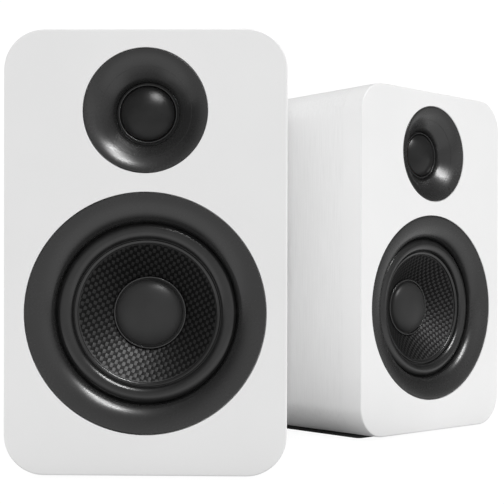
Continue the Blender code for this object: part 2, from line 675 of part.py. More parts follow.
def amp_plate(origin):
    low = (-PLATE_WIDTH / 2, REAR_Y - PLATE_THICKNESS, PLATE_BOTTOM)
    high = (PLATE_WIDTH / 2, REAR_Y, PLATE_TOP)
    plate = block("active_amp_plate", low, high, origin, PANEL_METAL, PLATE_CORNER)
    cut(plate, round_hole("knob_hole", 0.0046, KNOB_PLACE, origin))
    cut(plate, round_hole("aux_hole", 0.0044, AUX_PLACE, origin))
    cut(plate, round_hole("rca_left_hole", 0.0059, RCA_LEFT_PLACE, origin))
    cut(plate, round_hole("rca_right_hole", 0.0059, RCA_RIGHT_PLACE, origin))
    terminal_opening("active", ACTIVE_TERMINAL_PLACE, plate, origin)
    for name, place, half_width, half_height in (
        ("switch_opening", SWITCH_PLACE, 0.0066, 0.0101),
        ("inlet_opening", INLET_PLACE, 0.0101, 0.0061),
    ):
        low = (place[0] - half_width, REAR_Y - OPENING_DEPTH, place[1] - half_height)
        high = (place[0] + half_width, REAR_Y + OVERSHOOT, place[1] + half_height)
        cut(plate, cutter(name, low, high, origin))


def volume_control(origin):
    """The potentiometer behind the plate, its shaft, and the knob on the shaft's end."""
    bore = SHAFT_RADIUS + GAP
    body_back, body_front, bush_end = -0.0115, -0.0023, 0.0010
    outline = [(0, body_back), (POT_RADIUS, body_back), (POT_RADIUS, body_front), (BUSH_RADIUS, body_front)]
    outline += [(BUSH_RADIUS, bush_end), (bore, bush_end), (bore, -0.0105), (0, -0.0105)]
    rear_round("active_volume_pot", outline, KNOB_PLACE, origin, ZINC_STEEL)
    outline = [(0, SHAFT_END), (SHAFT_RADIUS, SHAFT_END), (SHAFT_RADIUS, -0.0101), (0, -0.0101)]
    rear_round("active_volume_shaft", outline, KNOB_PLACE, origin, NICKEL)
    back = bush_end + 0.0004
    front = back + KNOB_LENGTH
    socket = SHAFT_END + 0.0004
    outline = [(0, front), (KNOB_RADIUS - KNOB_CHAMFER, front), (KNOB_RADIUS, front - KNOB_CHAMFER)]
    outline += [(KNOB_RADIUS, back), (bore, back), (bore, socket), (0, socket)]
    knob = rear_round("active_volume_knob", outline, KNOB_PLACE, origin, BLACK_PLASTIC)
    low = (KNOB_PLACE[0] - 0.0006, REAR_Y + front - 0.0008, KNOB_PLACE[1] + 0.004)
    high = (KNOB_PLACE[0] + 0.0006, REAR_Y + front + OVERSHOOT, KNOB_PLACE[1] + 0.013)
    cut(knob, cutter("knob_pointer", low, high, origin))


def rca_jack(name, place, origin):
    """A round socket: insulating flange, outer sleeve and a blind centre hole."""
    body, flange, sleeve, hole = 0.0055, 0.0070, 0.0042, 0.0017
    outline = [(0, -JACK_BACK), (body, -JACK_BACK), (body, GAP), (flange, GAP), (flange, 0.0016)]
    outline += [(sleeve, 0.0016), (sleeve, 0.0095), (hole, 0.0095), (hole, -0.0040), (0, -0.0040)]
    rear_round(name, outline, place, origin, NICKEL)


def aux_jack(origin):
    body, flange, hole = 0.0040, 0.0058, 0.0018
    outline = [(0, -JACK_BACK), (body, -JACK_BACK), (body, GAP), (flange, GAP), (flange, 0.0016)]
    outline += [(hole, 0.0016), (hole, -0.0125), (0, -0.0125)]
    rear_round("active_aux_jack", outline, AUX_PLACE, origin, BLACK_PLASTIC)


def switch_housing(origin):
    x, z = SWITCH_PLACE
    low = (x - 0.0080, REAR_Y + GAP, z - 0.0118)
    high = (x + 0.0080, REAR_Y + BEZEL_THICKNESS, z + 0.0118)
    housing = block("active_switch_housing", low, high, origin, BLACK_PLASTIC, 0.002)
    low = (x - 0.0063, REAR_Y - CORE_DEPTH, z - 0.0098)
    high = (x + 0.0063, REAR_Y + BEZEL_THICKNESS / 2, z + 0.0098)
    join(housing, cutter("switch_core", low, high, origin))
    low = (x - 0.0052, REAR_Y - 0.0105, z - 0.0088)
    high = (x + 0.0052, REAR_Y + 0.0030, z + 0.0088)
    cut(housing, cutter("switch_well", low, high, origin))


def power_rocker(origin):
    """A rocker with two sloping faces. It rests tipped one way and swings to the other."""
    end = ROCKER_HALF_LENGTH
    outline = [(-0.0005, -end), (0.0032, -end), (0.0022, 0.0), (0.0032, end), (-0.0005, end)]
    outline += [(-0.0045, 0.0040), (-0.0058, 0.0), (-0.0045, -0.0040)]
    outline = tilted(outline, ROCKER_TILT)
    rocker = extruded("active_power_rocker", outline, ROCKER_WIDTH, origin, BLACK_PLASTIC)
    rocker.location = (SWITCH_PLACE[0], REAR_Y - 0.0008, SWITCH_PLACE[1])


def power_inlet(origin):
    """A two-pin inlet: a flanged block with a waisted well and two pins in it."""
    x, z = INLET_PLACE
    low = (x - 0.0130, REAR_Y + GAP, z - 0.0080)
    high = (x + 0.0130, REAR_Y + BEZEL_THICKNESS, z + 0.0080)
    inlet = block("active_power_inlet", low, high, origin, BLACK_PLASTIC, 0.002)
    low = (x - 0.0098, REAR_Y - CORE_DEPTH, z - 0.0058)
    high = (x + 0.0098, REAR_Y + BEZEL_THICKNESS / 2, z + 0.0058)
    join(inlet, cutter("inlet_core", low, high, origin))
    places = [(x - PIN_SPACING / 2, z), (x + PIN_SPACING / 2, z)]
    well, pin, well_floor = 0.0045, 0.0012, -0.0125
    outline = [(0, 0.003), (well, 0.003), (well, well_floor), (0, well_floor)]
    for place in places:
        cut(inlet, rear_round("inlet_well", outline, place, origin, None, CUTTERS))
    outline = [(0, -0.0030), (pin, -0.0030), (pin, -0.0140), (0, -0.0140)]
    for place in places:
        join(inlet, rear_round("inlet_pin", outline, place, origin, None, CUTTERS))


def circuit_board(origin):
    front = REAR_Y - BOARD_DEPTH
    low = (-0.044, front - 0.0016, 0.060)
    high = (0.044, front, 0.128)
    block("active_circuit_board", low, high, origin, CIRCUIT_GREEN)


def transformer(origin):
    """A steel core with its winding standing proud on both faces, on the cabinet's floor."""
    floor = PAD_THICKNESS + WALL + GAP
    low = (-0.023, 0.020, floor)
    high = (0.023, 0.044, floor + 0.038)
    core = block("active_transformer", low, high, origin, CORE_STEEL)
    low = (-0.014, 0.011, floor + 0.008)
    high = (0.014, 0.053, floor + 0.030)
    join(core, cutter("transformer_winding", low, high, origin))


def crossover_board(origin):
    """The passive speaker's crossover: a board with a coil and two capacitors."""
    floor = PAD_THICKNESS + WALL + GAP
    top = floor + 0.0016
    low = (-0.030, 0.000, floor)
    high = (0.030, 0.055, top)
    board = block("passive_crossover_board", low, high, origin, CIRCUIT_GREEN)
    for name, radius, height, place in (
        ("crossover_coil", 0.0130, 0.0140, (-0.014, 0.018)),
        ("crossover_capacitor_1", 0.0065, 0.0200, (0.014, 0.012)),
        ("crossover_capacitor_2", 0.0065, 0.0200, (0.014, 0.032)),
    ):
        outline = [(0, height), (radius, height), (radius, -0.0008), (0, -0.0008)]
        part = turned(name, outline, CONNECTOR_FACETS, origin, None, CUTTERS)
        part.location = (*place, top)
        join(board, part)


# ---------------------------------------------------------------- assembly


def speaker(side, location, turn):
    """The pieces that both speakers have. Returns the speaker's empty and its rear panel."""
    origin = add_empty(f"{side}_origin", None, location, (0, 0, turn))
    base_pad(side, origin)
    cabinet_wrap(side, origin)
    front_baffle(side, origin)
    panel = rear_panel(side, origin)
    port_tube(side, origin)
    woofer(side, origin)
    tweeter(side, origin)
    return origin, panel


def active_speaker():
    origin, panel = speaker("active", (0, 0, 0), 0)
    panel_opening(panel, origin)
    amp_plate(origin)
    circuit_board(origin)
    transformer(origin)
    volume_control(origin)
    aux_jack(origin)
    rca_jack("active_rca_jack_left", RCA_LEFT_PLACE, origin)
    rca_jack("active_rca_jack_right", RCA_RIGHT_PLACE, origin)
    switch_housing(origin)
    power_rocker(origin)
    power_inlet(origin)
    terminals("active", ACTIVE_TERMINAL_PLACE, origin)


def passive_speaker():
    origin, panel = speaker("passive", PASSIVE_PLACE, PASSIVE_TURN)
    terminal_opening("passive", PASSIVE_TERMINAL_PLACE, panel, origin)
    terminals("passive", PASSIVE_TERMINAL_PLACE, origin)
    crossover_board(origin)


active_speaker()
passive_speaker()
for mesh in bpy.data.meshes:
    shade(mesh)
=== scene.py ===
"""Looks for a pair of powered desktop speakers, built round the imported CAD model.

Shapes are in millimetres, in each speaker's own axes: X to the right as seen from the front, Y from the
front to the rear, Z up. A driver's profile is (radius, depth behind the front face), and a rear fitting's is
(radius, height out from the rear face).
"""

import json
from math import atan2, cos, pi, radians, sin, sqrt, tan

import bmesh
import bpy
import numpy as np
from mathutils import Matrix, Vector
from mathutils.geometry import tessellate_polygon


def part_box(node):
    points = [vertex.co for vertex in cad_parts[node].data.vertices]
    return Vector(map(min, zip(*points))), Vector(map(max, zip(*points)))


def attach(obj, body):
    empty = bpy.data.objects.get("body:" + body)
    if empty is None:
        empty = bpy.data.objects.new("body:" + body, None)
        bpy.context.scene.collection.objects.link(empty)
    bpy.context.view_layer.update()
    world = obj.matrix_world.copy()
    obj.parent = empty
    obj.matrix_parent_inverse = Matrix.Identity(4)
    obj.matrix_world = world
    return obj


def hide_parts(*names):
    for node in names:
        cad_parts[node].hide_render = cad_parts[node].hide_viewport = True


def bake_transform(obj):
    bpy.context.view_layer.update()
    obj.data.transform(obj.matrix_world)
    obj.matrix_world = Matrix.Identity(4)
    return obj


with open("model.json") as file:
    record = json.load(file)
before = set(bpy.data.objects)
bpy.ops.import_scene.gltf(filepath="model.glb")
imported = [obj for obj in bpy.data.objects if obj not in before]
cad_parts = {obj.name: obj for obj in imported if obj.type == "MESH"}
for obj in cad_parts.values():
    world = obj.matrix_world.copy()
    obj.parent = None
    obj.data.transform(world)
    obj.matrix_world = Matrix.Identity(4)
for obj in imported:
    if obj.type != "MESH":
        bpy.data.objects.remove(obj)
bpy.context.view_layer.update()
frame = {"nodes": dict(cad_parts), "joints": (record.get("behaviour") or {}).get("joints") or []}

MM = 0.001
SIDES = ("active", "passive")
JOINTS = {joint["name"]: joint for joint in frame["joints"]}


# ---------------------------------------------------------------- where things are, from the frame


def box_mm(node):
    low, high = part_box(node)
    return low / MM, high / MM


def speaker_place(side):
    """The matrix from a speaker's own axes to the row frame."""
    low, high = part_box(f"{side}_base_pad")
    facing = JOINTS[f"{side}_woofer_slide"]["axis"]
    turn = atan2(facing[0], -facing[1])
    middle = Matrix.Translation(((low.x + high.x) / 2, (low.y + high.y) / 2, 0))
    return middle @ Matrix.Rotation(turn, 4, "Z")


PLACE = {side: speaker_place(side) for side in SIDES}
FACE_LOW, FACE_HIGH = box_mm("active_front_baffle")
HALF_WIDTH = FACE_HIGH.x
HALF_HEIGHT = (FACE_HIGH.z - FACE_LOW.z) / 2
MIDDLE = (0, (FACE_LOW.z + FACE_HIGH.z) / 2)
FRONT, REAR = FACE_LOW.y, box_mm("active_cabinet_wrap")[1].y
BAFFLE_BACK = FACE_HIGH.y


def spot(node):
    """Where a piece's middle is as seen from the front, as (x, z)."""
    low, high = box_mm(node)
    return (low.x + high.x) / 2, (low.z + high.z) / 2


WOOFER = (0, spot("active_woofer_trim_ring")[1])
TWEETER = (0, spot("active_tweeter_waveguide")[1])
PORT = (0, spot("active_port_tube")[1])
TERMINALS = spot("active_terminal_block")

# Sizes of the boards, in millimetres
CORNER = 20.0  # radius of the cabinet's long edges
WALL = 8.0
FRONT_EDGE = 0.8  # rounding round the front face
PANEL_THICKNESS = 9.0
REBATE_DEPTH = 4.3  # how far a driver's rim is let into the baffle
FIT = 0.3  # clearance between a board and what is let into it
SEAM = 0.01  # clearance of a glued joint
FACE_LAND = 0.12  # flat strip between a face and the rounding at its edge


# ---------------------------------------------------------------- outlines


def rounded(corners, steps=5):
    """A closed outline through (a, b) or (a, b, radius) corners, with an arc where a radius is given."""
    points = []
    for number, corner in enumerate(corners):
        at = Vector(corner[:2])
        if len(corner) == 2:
            points.append((at.x, at.y))
            continue
        before = (Vector(corners[number - 1][:2]) - at).normalized()
        after = (Vector(corners[(number + 1) % len(corners)][:2]) - at).normalized()
        half = before.angle(after) / 2
        centre = at + (before + after).normalized() * (corner[2] / sin(half))
        start = at + before * (corner[2] / tan(half)) - centre
        end = at + after * (corner[2] / tan(half)) - centre
        first = atan2(start.y, start.x)
        sweep = (atan2(end.y, end.x) - first + pi) % (2 * pi) - pi
        for step in range(steps + 1):
            angle = first + sweep * step / steps
            points.append((centre.x + corner[2] * cos(angle), centre.y + corner[2] * sin(angle)))
    return points


def arc(centre, half_width, height, start, end, steps):
    """Points on an ellipse, between two angles in degrees."""
    angles = [radians(start + (end - start) * i / steps) for i in range(steps + 1)]
    return [(centre[0] + half_width * cos(a), centre[1] + height * sin(a)) for a in angles]


def cap_arc(rim_radius, base, height, steps, fullness=0.9):
    """Points (radius, depth) of a cap that bulges forward, from its crown to its rim.

    A fullness of 0.5 is half an ellipsoid, and near 1 a shallow cap.
    """
    angles = [pi / 2 * i / steps for i in range(steps + 1)]
    return [(rim_radius * sin(a), base - height * cos(a) ** (2 * fullness)) for a in angles]


def rectangle(centre, half_width, half_height, radius=0.0, steps=6):
    """A rectangle that can grow or shrink: a function from growth to its points."""

    def points(grow=0.0):
        x, z = half_width + grow, half_height + grow
        r = max(radius + grow, 0.02)
        corners = [(x, z, r), (-x, z, r), (-x, -z, r), (x, -z, r)]
        return [(centre[0] + a, centre[1] + b) for a, b in rounded(corners, steps)]

    return points


def circle(centre, radius, count=96):
    def points(grow=0.0):
        r = radius + grow
        return [
            (centre[0] + r * cos(2 * pi * i / count), centre[1] + r * sin(2 * pi * i / count))
            for i in range(count)
        ]

    return points


def polygon(outline):
    """Any closed outline that can grow or shrink a little, corner by corner."""
    turn = sum(a[0] * b[1] - b[0] * a[1] for a, b in zip(outline, outline[1:] + outline[:1]))
    ring = [Vector(p) for p in (outline if turn > 0 else outline[::-1])]

    def points(grow=0.0):
        moved = []
        for number, at in enumerate(ring):
            into = (at - ring[number - 1]).normalized()
            out = (ring[(number + 1) % len(ring)] - at).normalized()
            across = Vector((into.y + out.y, -into.x - out.x)).normalized()
            lean = max(across.dot(Vector((into.y, -into.x))), 0.4)
            moved.append(tuple(at + across * (grow / lean)))
        return moved

    return points


# ---------------------------------------------------------------- meshes


def lathe(profile, centre, base, segments=160, flutes=None):
    """A closed (radius, y) profile turned about an axis along Y through centre (x, z), with y = 0 at base."""
    angles = 2 * pi * np.arange(segments) / segments
    vertices, rings = [], []
    for number, (radius, y) in enumerate(profile):
        if radius < 1e-6:
            rings.append([len(vertices)] * segments)
            vertices.append((centre[0], base + y, centre[1]))
            continue
        rings.append(list(range(len(vertices), len(vertices) + segments)))
        radii = np.full(segments, float(radius))
        if flutes:
            radii -= flutes[1][number] * (0.5 + 0.5 * np.cos(flutes[0] * angles)) ** 2
        for r, angle in zip(radii, angles):
            vertices.append((centre[0] + r * cos(angle), base + y, centre[1] + r * sin(angle)))
    pairs = list(zip(rings, rings[1:]))
    if profile[0][0] > 1e-6 or profile[-1][0] > 1e-6:
        pairs.append((rings[-1], rings[0]))
    faces = []
    for near, far in pairs:
        for i in range(segments):
            j = (i + 1) % segments
            corners = [near[i], near[j], far[j], far[i]]
            face = list(dict.fromkeys(corners))
            if len(face) > 2:
                faces.append(face)
    return vertices, faces


def edge_rings(shape, start, end, edges=(0.3, 0.3), hole=False, steps=3):
    """The rings of a straight wall between two levels, rounded where it meets each face."""
    way = 1 if end > start else -1
    grow = 1 if hole else -1

    def rounding(edge, level, inward):
        if not edge:
            return []
        bend = [(shape(grow * (edge + FACE_LAND)), level)]
        for step in range(steps):
            angle = pi / 2 * step / steps
            bend.append((shape(grow * edge * (1 - sin(angle))), level + inward * edge * (1 - cos(angle))))
        return bend

    straight = [(shape(), start + way * edges[0]), (shape(), end - way * edges[1])]
    return rounding(edges[0], start, way) + straight + rounding(edges[1], end, -way)[::-1]


def solid(outer, holes=(), pockets=(), axes="xzy"):
    """A closed solid from walls. A wall is a list of (points, level) rings from the first cap to the last.

    Holes go right through to the last cap. A pocket ends in a floor of its own. axes says which axis the
    outline's first and second numbers and the level lie along.
    """
    vertices, faces = [], []
    order = ["xyz".index(axis) for axis in axes]

    def add_ring(points, level):
        first = len(vertices)
        for point in points:
            where = [0.0, 0.0, 0.0]
            for axis, value in zip(order, (point[0], point[1], level)):
                where[axis] = value
            vertices.append(tuple(where))
        return range(first, len(vertices))

    def add_cap(loops):
        flat = [[Vector((p[0], p[1], 0)) for p in points] for points, _ in loops]
        index = [i for _, numbers in loops for i in numbers]
        for face in tessellate_polygon(flat):
            faces.append([index[i] for i in face])

    first_loops, last_loops = [], []
    for kind, wall in [("outer", outer)] + [("hole", w) for w in holes] + [("pocket", w) for w in pockets]:
        rings = [add_ring(points, level) for points, level in wall]
        for near, far in zip(rings, rings[1:]):
            for i in range(len(near)):
                j = (i + 1) % len(near)
                faces.append([near[i], near[j], far[j], far[i]])
        first_loops.append((wall[0][0], rings[0]))
        if kind == "pocket":
            add_cap([(wall[-1][0], rings[-1])])
        else:
            last_loops.append((wall[-1][0], rings[-1]))
    add_cap(first_loops)
    add_cap(last_loops)
    return vertices, faces


def tilted(outline, degrees, centre=(0, 0)):
    """An outline turned about its own origin, which is then put at centre."""
    across, up = cos(radians(degrees)), sin(radians(degrees))
    return [(centre[0] + a * across - b * up, centre[1] + a * up + b * across) for a, b in outline]


def moved(shape, matrix):
    vertices, faces = shape
    return [tuple(matrix @ Vector(v)) for v in vertices], faces


def together(shapes):
    vertices, faces = [], []
    for more_vertices, more_faces in shapes:
        start = len(vertices)
        vertices += more_vertices
        faces += [[start + i for i in face] for face in more_faces]
    return vertices, faces


def piece(name, shape, side, material, stands_for=(), body="cabinet", sharp=40):
    """Makes a shown piece from a shape in millimetres, which rides on one of the speaker's bodies."""
    vertices, faces = shape
    mesh = bpy.data.meshes.new(name)
    mesh.from_pydata([(x * MM, y * MM, z * MM) for x, y, z in vertices], [], faces)
    work = bmesh.new()
    work.from_mesh(mesh)
    bmesh.ops.recalc_face_normals(work, faces=work.faces)
    work.to_mesh(mesh)
    work.free()
    mesh.shade_smooth()
    mesh.set_sharp_from_angle(angle=radians(sharp))
    mesh.materials.append(material)
    obj = bpy.data.objects.new(f"{side}_{name}", mesh)
    bpy.context.scene.collection.objects.link(obj)
    obj.matrix_world = PLACE[side]
    if stands_for:
        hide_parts(*[f"{side}_{node}" for node in stands_for])
    if body:
        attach(obj, f"{side}_{body}")
    return obj


def flexing(obj):
    """Bakes the ring's placement into its mesh."""
    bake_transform(obj)


# ---------------------------------------------------------------- materials


class Nodes:
    """A material's node tree, with short ways to add to it."""

    def __init__(self, name, roughness, fixed=None):
        self.material = bpy.data.materials.new(name)
        self.material.use_nodes = True
        self.tree = self.material.node_tree
        self.shader = self.tree.nodes["Principled BSDF"]
        self.shader.inputs["Roughness"].default_value = roughness
        for socket, value in (fixed or {}).items():
            self.shader.inputs[socket].default_value = value
        self.place = self.add("ShaderNodeTexCoord").outputs["Object"]

    def add(self, kind, inputs=None, **settings):
        node = self.tree.nodes.new(kind)
        for name, value in settings.items():
            setattr(node, name, value)
        for name, value in (inputs or {}).items():
            if isinstance(value, bpy.types.NodeSocket):
                self.tree.links.new(value, node.inputs[name])
            else:
                node.inputs[name].default_value = value
        return node

    def math(self, operation, first, second=0.0):
        return self.add("ShaderNodeMath", {0: first, 1: second}, operation=operation).outputs[0]

    def noise(self, size, detail=2.0, vector=None, roughness=0.5):
        """Noise whose features are about size millimetres across, or size units of a vector that is given."""
        scale = 1 / (size * MM) if vector is None else 1 / size
        inputs = {"Vector": vector or self.place, "Scale": scale, "Detail": detail, "Roughness": roughness}
        return self.add("ShaderNodeTexNoise", inputs).outputs["Fac"]

    def stretch(self, value, low, high, from_low=0.3, from_high=0.7):
        inputs = {"Value": value, "From Min": from_low, "From Max": from_high, "To Min": low, "To Max": high}
        return self.add("ShaderNodeMapRange", inputs).outputs["Result"]

    def blend(self, value, dark, light, low=0.3, high=0.7):
        ramp = self.add("ShaderNodeValToRGB", {"Fac": value})
        ends = ramp.color_ramp.elements
        ends[0].position, ends[1].position = low, high
        ends[0].color, ends[1].color = (*dark, 1), (*light, 1)
        return ramp.outputs["Color"]

    def drive(self, socket, value):
        self.tree.links.new(value, self.shader.inputs[socket])

    def bump(self, height, depth, strength=1.0):
        """Adds relief of depth millimetres over what is there already."""
        inputs = {"Height": height, "Distance": depth * MM, "Strength": strength}
        normal = self.shader.inputs["Normal"]
        if normal.links:
            inputs["Normal"] = normal.links[0].from_socket
        self.drive("Normal", self.add("ShaderNodeBump", inputs).outputs["Normal"])


def finish(name, dark, light, roughness, grain=(0.4, 0.03), blotch=18.0, fixed=None):
    """A moulded or painted surface: slow changes of tone and gloss, and a fine grain of (size, depth)."""
    nodes = Nodes(name, roughness[0], fixed)
    slow = nodes.noise(blotch, 3.0)
    nodes.drive("Base Color", nodes.blend(slow, dark, light))
    slow_share = nodes.math("MULTIPLY", slow, 0.6)
    patchy = nodes.math("ADD", slow_share, nodes.math("MULTIPLY", nodes.noise(1.6), 0.4))
    nodes.drive("Roughness", nodes.stretch(patchy, *roughness))
    nodes.bump(nodes.noise(grain[0], 2.0), grain[1])
    return nodes


def grey(value):
    return (value, value, value)


PAINT = finish("white_satin_paint", grey(0.81), grey(0.83), (0.44, 0.52), (1.1, 0.010), 60.0).material


def grained_paint():
    """The same paint over the cabinet's wrap, whose faint grain runs upright."""
    nodes = finish("white_satin_wrap", grey(0.81), grey(0.83), (0.46, 0.54), (1.1, 0.008), 60.0)
    streaks = nodes.add("ShaderNodeMapping", {"Vector": nodes.place, "Scale": (1400, 1400, 45)})
    grain = nodes.noise(1.0, 3.0, streaks.outputs["Vector"])
    nodes.drive("Base Color", nodes.blend(grain, grey(0.775), grey(0.84), 0.25, 0.75))
    nodes.bump(grain, 0.012)
    return nodes.material


GRAINED = grained_paint()
PLASTIC = finish("dark_grey_moulding", grey(0.0168), grey(0.0200), (0.25, 0.29), (0.35, 0.004), 22.0).material
BLACK = finish("black_moulding", grey(0.010), grey(0.014), (0.38, 0.50), (0.30, 0.020), 12.0).material
RUBBER = finish("black_rubber_roll", grey(0.010), grey(0.014), (0.22, 0.27), (0.45, 0.006), 9.0).material
FOOT = finish("rubber_foot", grey(0.016), grey(0.024), (0.65, 0.80), (0.6, 0.05), 8.0).material
CAP = finish(
    "soft_cap", grey(0.036), grey(0.041), (0.34, 0.40), (0.5, 0.006), 14.0, {"Specular IOR Level": 0.12}
).material
CAP_RIM = finish("cap_glue_bead", grey(0.030), grey(0.036), (0.20, 0.30), (0.8, 0.012), 6.0).material
PANEL = finish("powder_coat", grey(0.012), grey(0.017), (0.50, 0.64), (0.55, 0.045), 20.0).material
RED = finish(
    "red_moulding", (0.42, 0.012, 0.012), (0.50, 0.018, 0.016), (0.32, 0.42), (0.3, 0.012), 6.0
).material
RED_RING = finish(
    "red_insulator", (0.45, 0.012, 0.012), (0.52, 0.020, 0.018), (0.35, 0.45), (0.3, 0.01), 4.0
).material
WHITE_RING = finish("white_insulator", grey(0.66), grey(0.72), (0.35, 0.45), (0.3, 0.01), 4.0).material
PRINT = finish("white_print", grey(0.60), grey(0.70), (0.50, 0.60), (0.2, 0.006), 3.0).material
STEEL = finish(
    "black_steel", grey(0.020), grey(0.032), (0.45, 0.60), (0.6, 0.03), 10.0, {"Metallic": 0.6}
).material
FERRITE = finish("ferrite", grey(0.045), grey(0.075), (0.62, 0.78), (0.35, 0.05), 5.0).material
METAL = {"Metallic": 1.0}


def plated(name, dark, light, roughness, brush):
    """Bare metal, with fine turned marks where brush is true."""
    nodes = finish(name, dark, light, roughness, (0.25, 0.006), 6.0, METAL)
    if brush:
        across = nodes.add("ShaderNodeMapping", {"Vector": nodes.place, "Scale": (300, 9000, 300)})
        nodes.bump(nodes.noise(1.0, 2.0, across.outputs["Vector"]), 0.008)
    return nodes.material


ZINC = plated("zinc_plate", (0.50, 0.51, 0.53), (0.60, 0.61, 0.63), (0.30, 0.45), True)
NICKEL = plated("nickel_plate", (0.66, 0.64, 0.60), (0.74, 0.72, 0.68), (0.16, 0.26), False)
SCREW = plated("black_zinc_screw", grey(0.10), grey(0.15), (0.32, 0.44), False)


def copper_winding():
    dark, light = (0.60, 0.27, 0.14), (0.70, 0.34, 0.19)
    nodes = finish("copper_wire", dark, light, (0.26, 0.36), (0.3, 0.01), 5.0, METAL)
    rows = nodes.add("ShaderNodeTexWave", {"Vector": nodes.place, "Scale": 1000.0}, bands_direction="Y")
    nodes.bump(rows.outputs["Fac"], 0.10)
    return nodes.material


def cloth(name, dark, light, roughness, pitch, depth, fixed=None):
    """A fine plain weave that runs along X and Z."""
    nodes = finish(name, dark, light, roughness, (0.3, 0.005), 7.0, fixed)
    inputs = {"Vector": nodes.place, "Scale": 0.314 / (pitch * MM)}
    rows = [nodes.add("ShaderNodeTexWave", inputs, bands_direction=way) for way in ("X", "Z")]
    nodes.bump(nodes.math("MULTIPLY", rows[0].outputs["Fac"], rows[1].outputs["Fac"]), depth)
    return nodes


SILK = cloth(
    "coated_silk", grey(0.015), grey(0.019), (0.27, 0.33), 0.35, 0.006, {"Specular IOR Level": 0.20}
).material
# Damping felt, and painted shade: near black, for the inside of the cabinets.
SHADE_FELT = cloth("damping_felt_and_painted_shade", grey(0.006), grey(0.010), (0.90, 1.0), 1.20, 0.20).material
SPIDER = cloth("varnished_cloth", (0.42, 0.28, 0.12), (0.55, 0.40, 0.20), (0.72, 0.88), 0.60, 0.08).material

# The cone's weave: a plain weave of flat tows, laid out square to the front
TOW = 1.85  # width of a tow and its gap
WEAVE_TURN = radians(-15.3)
TOW_SWING = 0.08  # how far a tow goes up and down
TOW_CROWN = 0.07  # how much higher a tow's middle is than its edges
TOW_FLAT = 0.37  # half of a tow's width, as a share of TOW


def woven_cone_finish(name, dark, light, roughness, gloss):
    nodes = Nodes(name, roughness, {"Specular IOR Level": gloss})
    mapped = nodes.add(
        "ShaderNodeMapping",
        {"Vector": nodes.place, "Rotation": (0, WEAVE_TURN, 0), "Scale": (1 / (TOW * MM),) * 3},
    )
    split = nodes.add("ShaderNodeSeparateXYZ", {"Vector": mapped.outputs["Vector"]})
    u, v = split.outputs["X"], split.outputs["Z"]
    cells = nodes.math("ADD", nodes.math("FLOOR", u), nodes.math("FLOOR", v))
    weft_up = nodes.math("PINGPONG", cells, 1.0)

    def pick(upright, level):
        """upright where an upright tow is on top, level where a level one is."""
        node = nodes.add("ShaderNodeMix", {0: weft_up, 2: upright, 3: level})
        return node.outputs[0]

    def from_middle(value):
        return nodes.math("ABSOLUTE", nodes.math("SUBTRACT", nodes.math("FRACT", value), 0.5))

    fibres = []
    for scale in ((16.0, 1.0, 1.3), (1.3, 1.0, 16.0)):
        lines = nodes.add("ShaderNodeMapping", {"Vector": mapped.outputs["Vector"], "Scale": scale})
        fibres.append(nodes.noise(1.0, 2.0, lines.outputs["Vector"]))
    fibre = pick(*fibres)
    edge = pick(from_middle(u), from_middle(v))
    # Painted shade: the base colour darkens towards each tow's edges, standing in for the shade in the gaps
    # between tows.
    painted_gap_shade = nodes.stretch(edge, 1.0, 0.05, 0.28, 0.48)
    tone = nodes.math("MULTIPLY", painted_gap_shade, nodes.stretch(fibre, 0.75, 1.0))
    nodes.drive("Base Color", nodes.blend(tone, dark, light, 0.0, 1.0))
    nodes.drive("Roughness", nodes.stretch(fibre, roughness, roughness + 0.10))
    nodes.bump(fibre, 0.015)
    return nodes.material


# Lit and shaded copies of one cone finish, as painted light and shade: the upright tows take the brighter,
# glossier copy, and the level tows and the gaps beside the upright tows take the darker, duller one.
WEAVE_UPRIGHT_LIT = woven_cone_finish("woven_cone_upright_tows_lit_copy", grey(0.0004), grey(0.0030), 0.52, 0.42)
WEAVE_LEVEL_SHADED = woven_cone_finish("woven_cone_level_tows_shaded_copy", grey(0.0005), grey(0.0016), 0.55, 0.12)


def circuit_finish():
    dark, light = (0.010, 0.075, 0.030), (0.014, 0.095, 0.040)
    nodes = finish("circuit_board", dark, light, (0.28, 0.40), (0.8, 0.01), 9.0)
    tracks = nodes.add("ShaderNodeTexBrick", {"Vector": nodes.place, "Scale": 220.0, "Mortar Size": 0.05})
    nodes.bump(tracks.outputs["Fac"], 0.03)
    return nodes.material


CIRCUIT = circuit_finish()
COPPER = copper_winding()
CORE = plated("transformer_core", (0.16, 0.16, 0.17), (0.24, 0.24, 0.25), (0.45, 0.60), True)
CAD_FINISHES = {
    "woofer_basket": STEEL,
    "woofer_voice_coil": COPPER,
    "woofer_top_plate": ZINC,
    "woofer_magnet": FERRITE,
    "woofer_yoke": ZINC,
    "tweeter_voice_coil": COPPER,
    "tweeter_magnet_cup": ZINC,
    "circuit_board": CIRCUIT,
    "crossover_board": CIRCUIT,
    "transformer": CORE,
    "volume_shaft": NICKEL,
    "volume_pot": ZINC,
}


# ---------------------------------------------------------------- cabinet


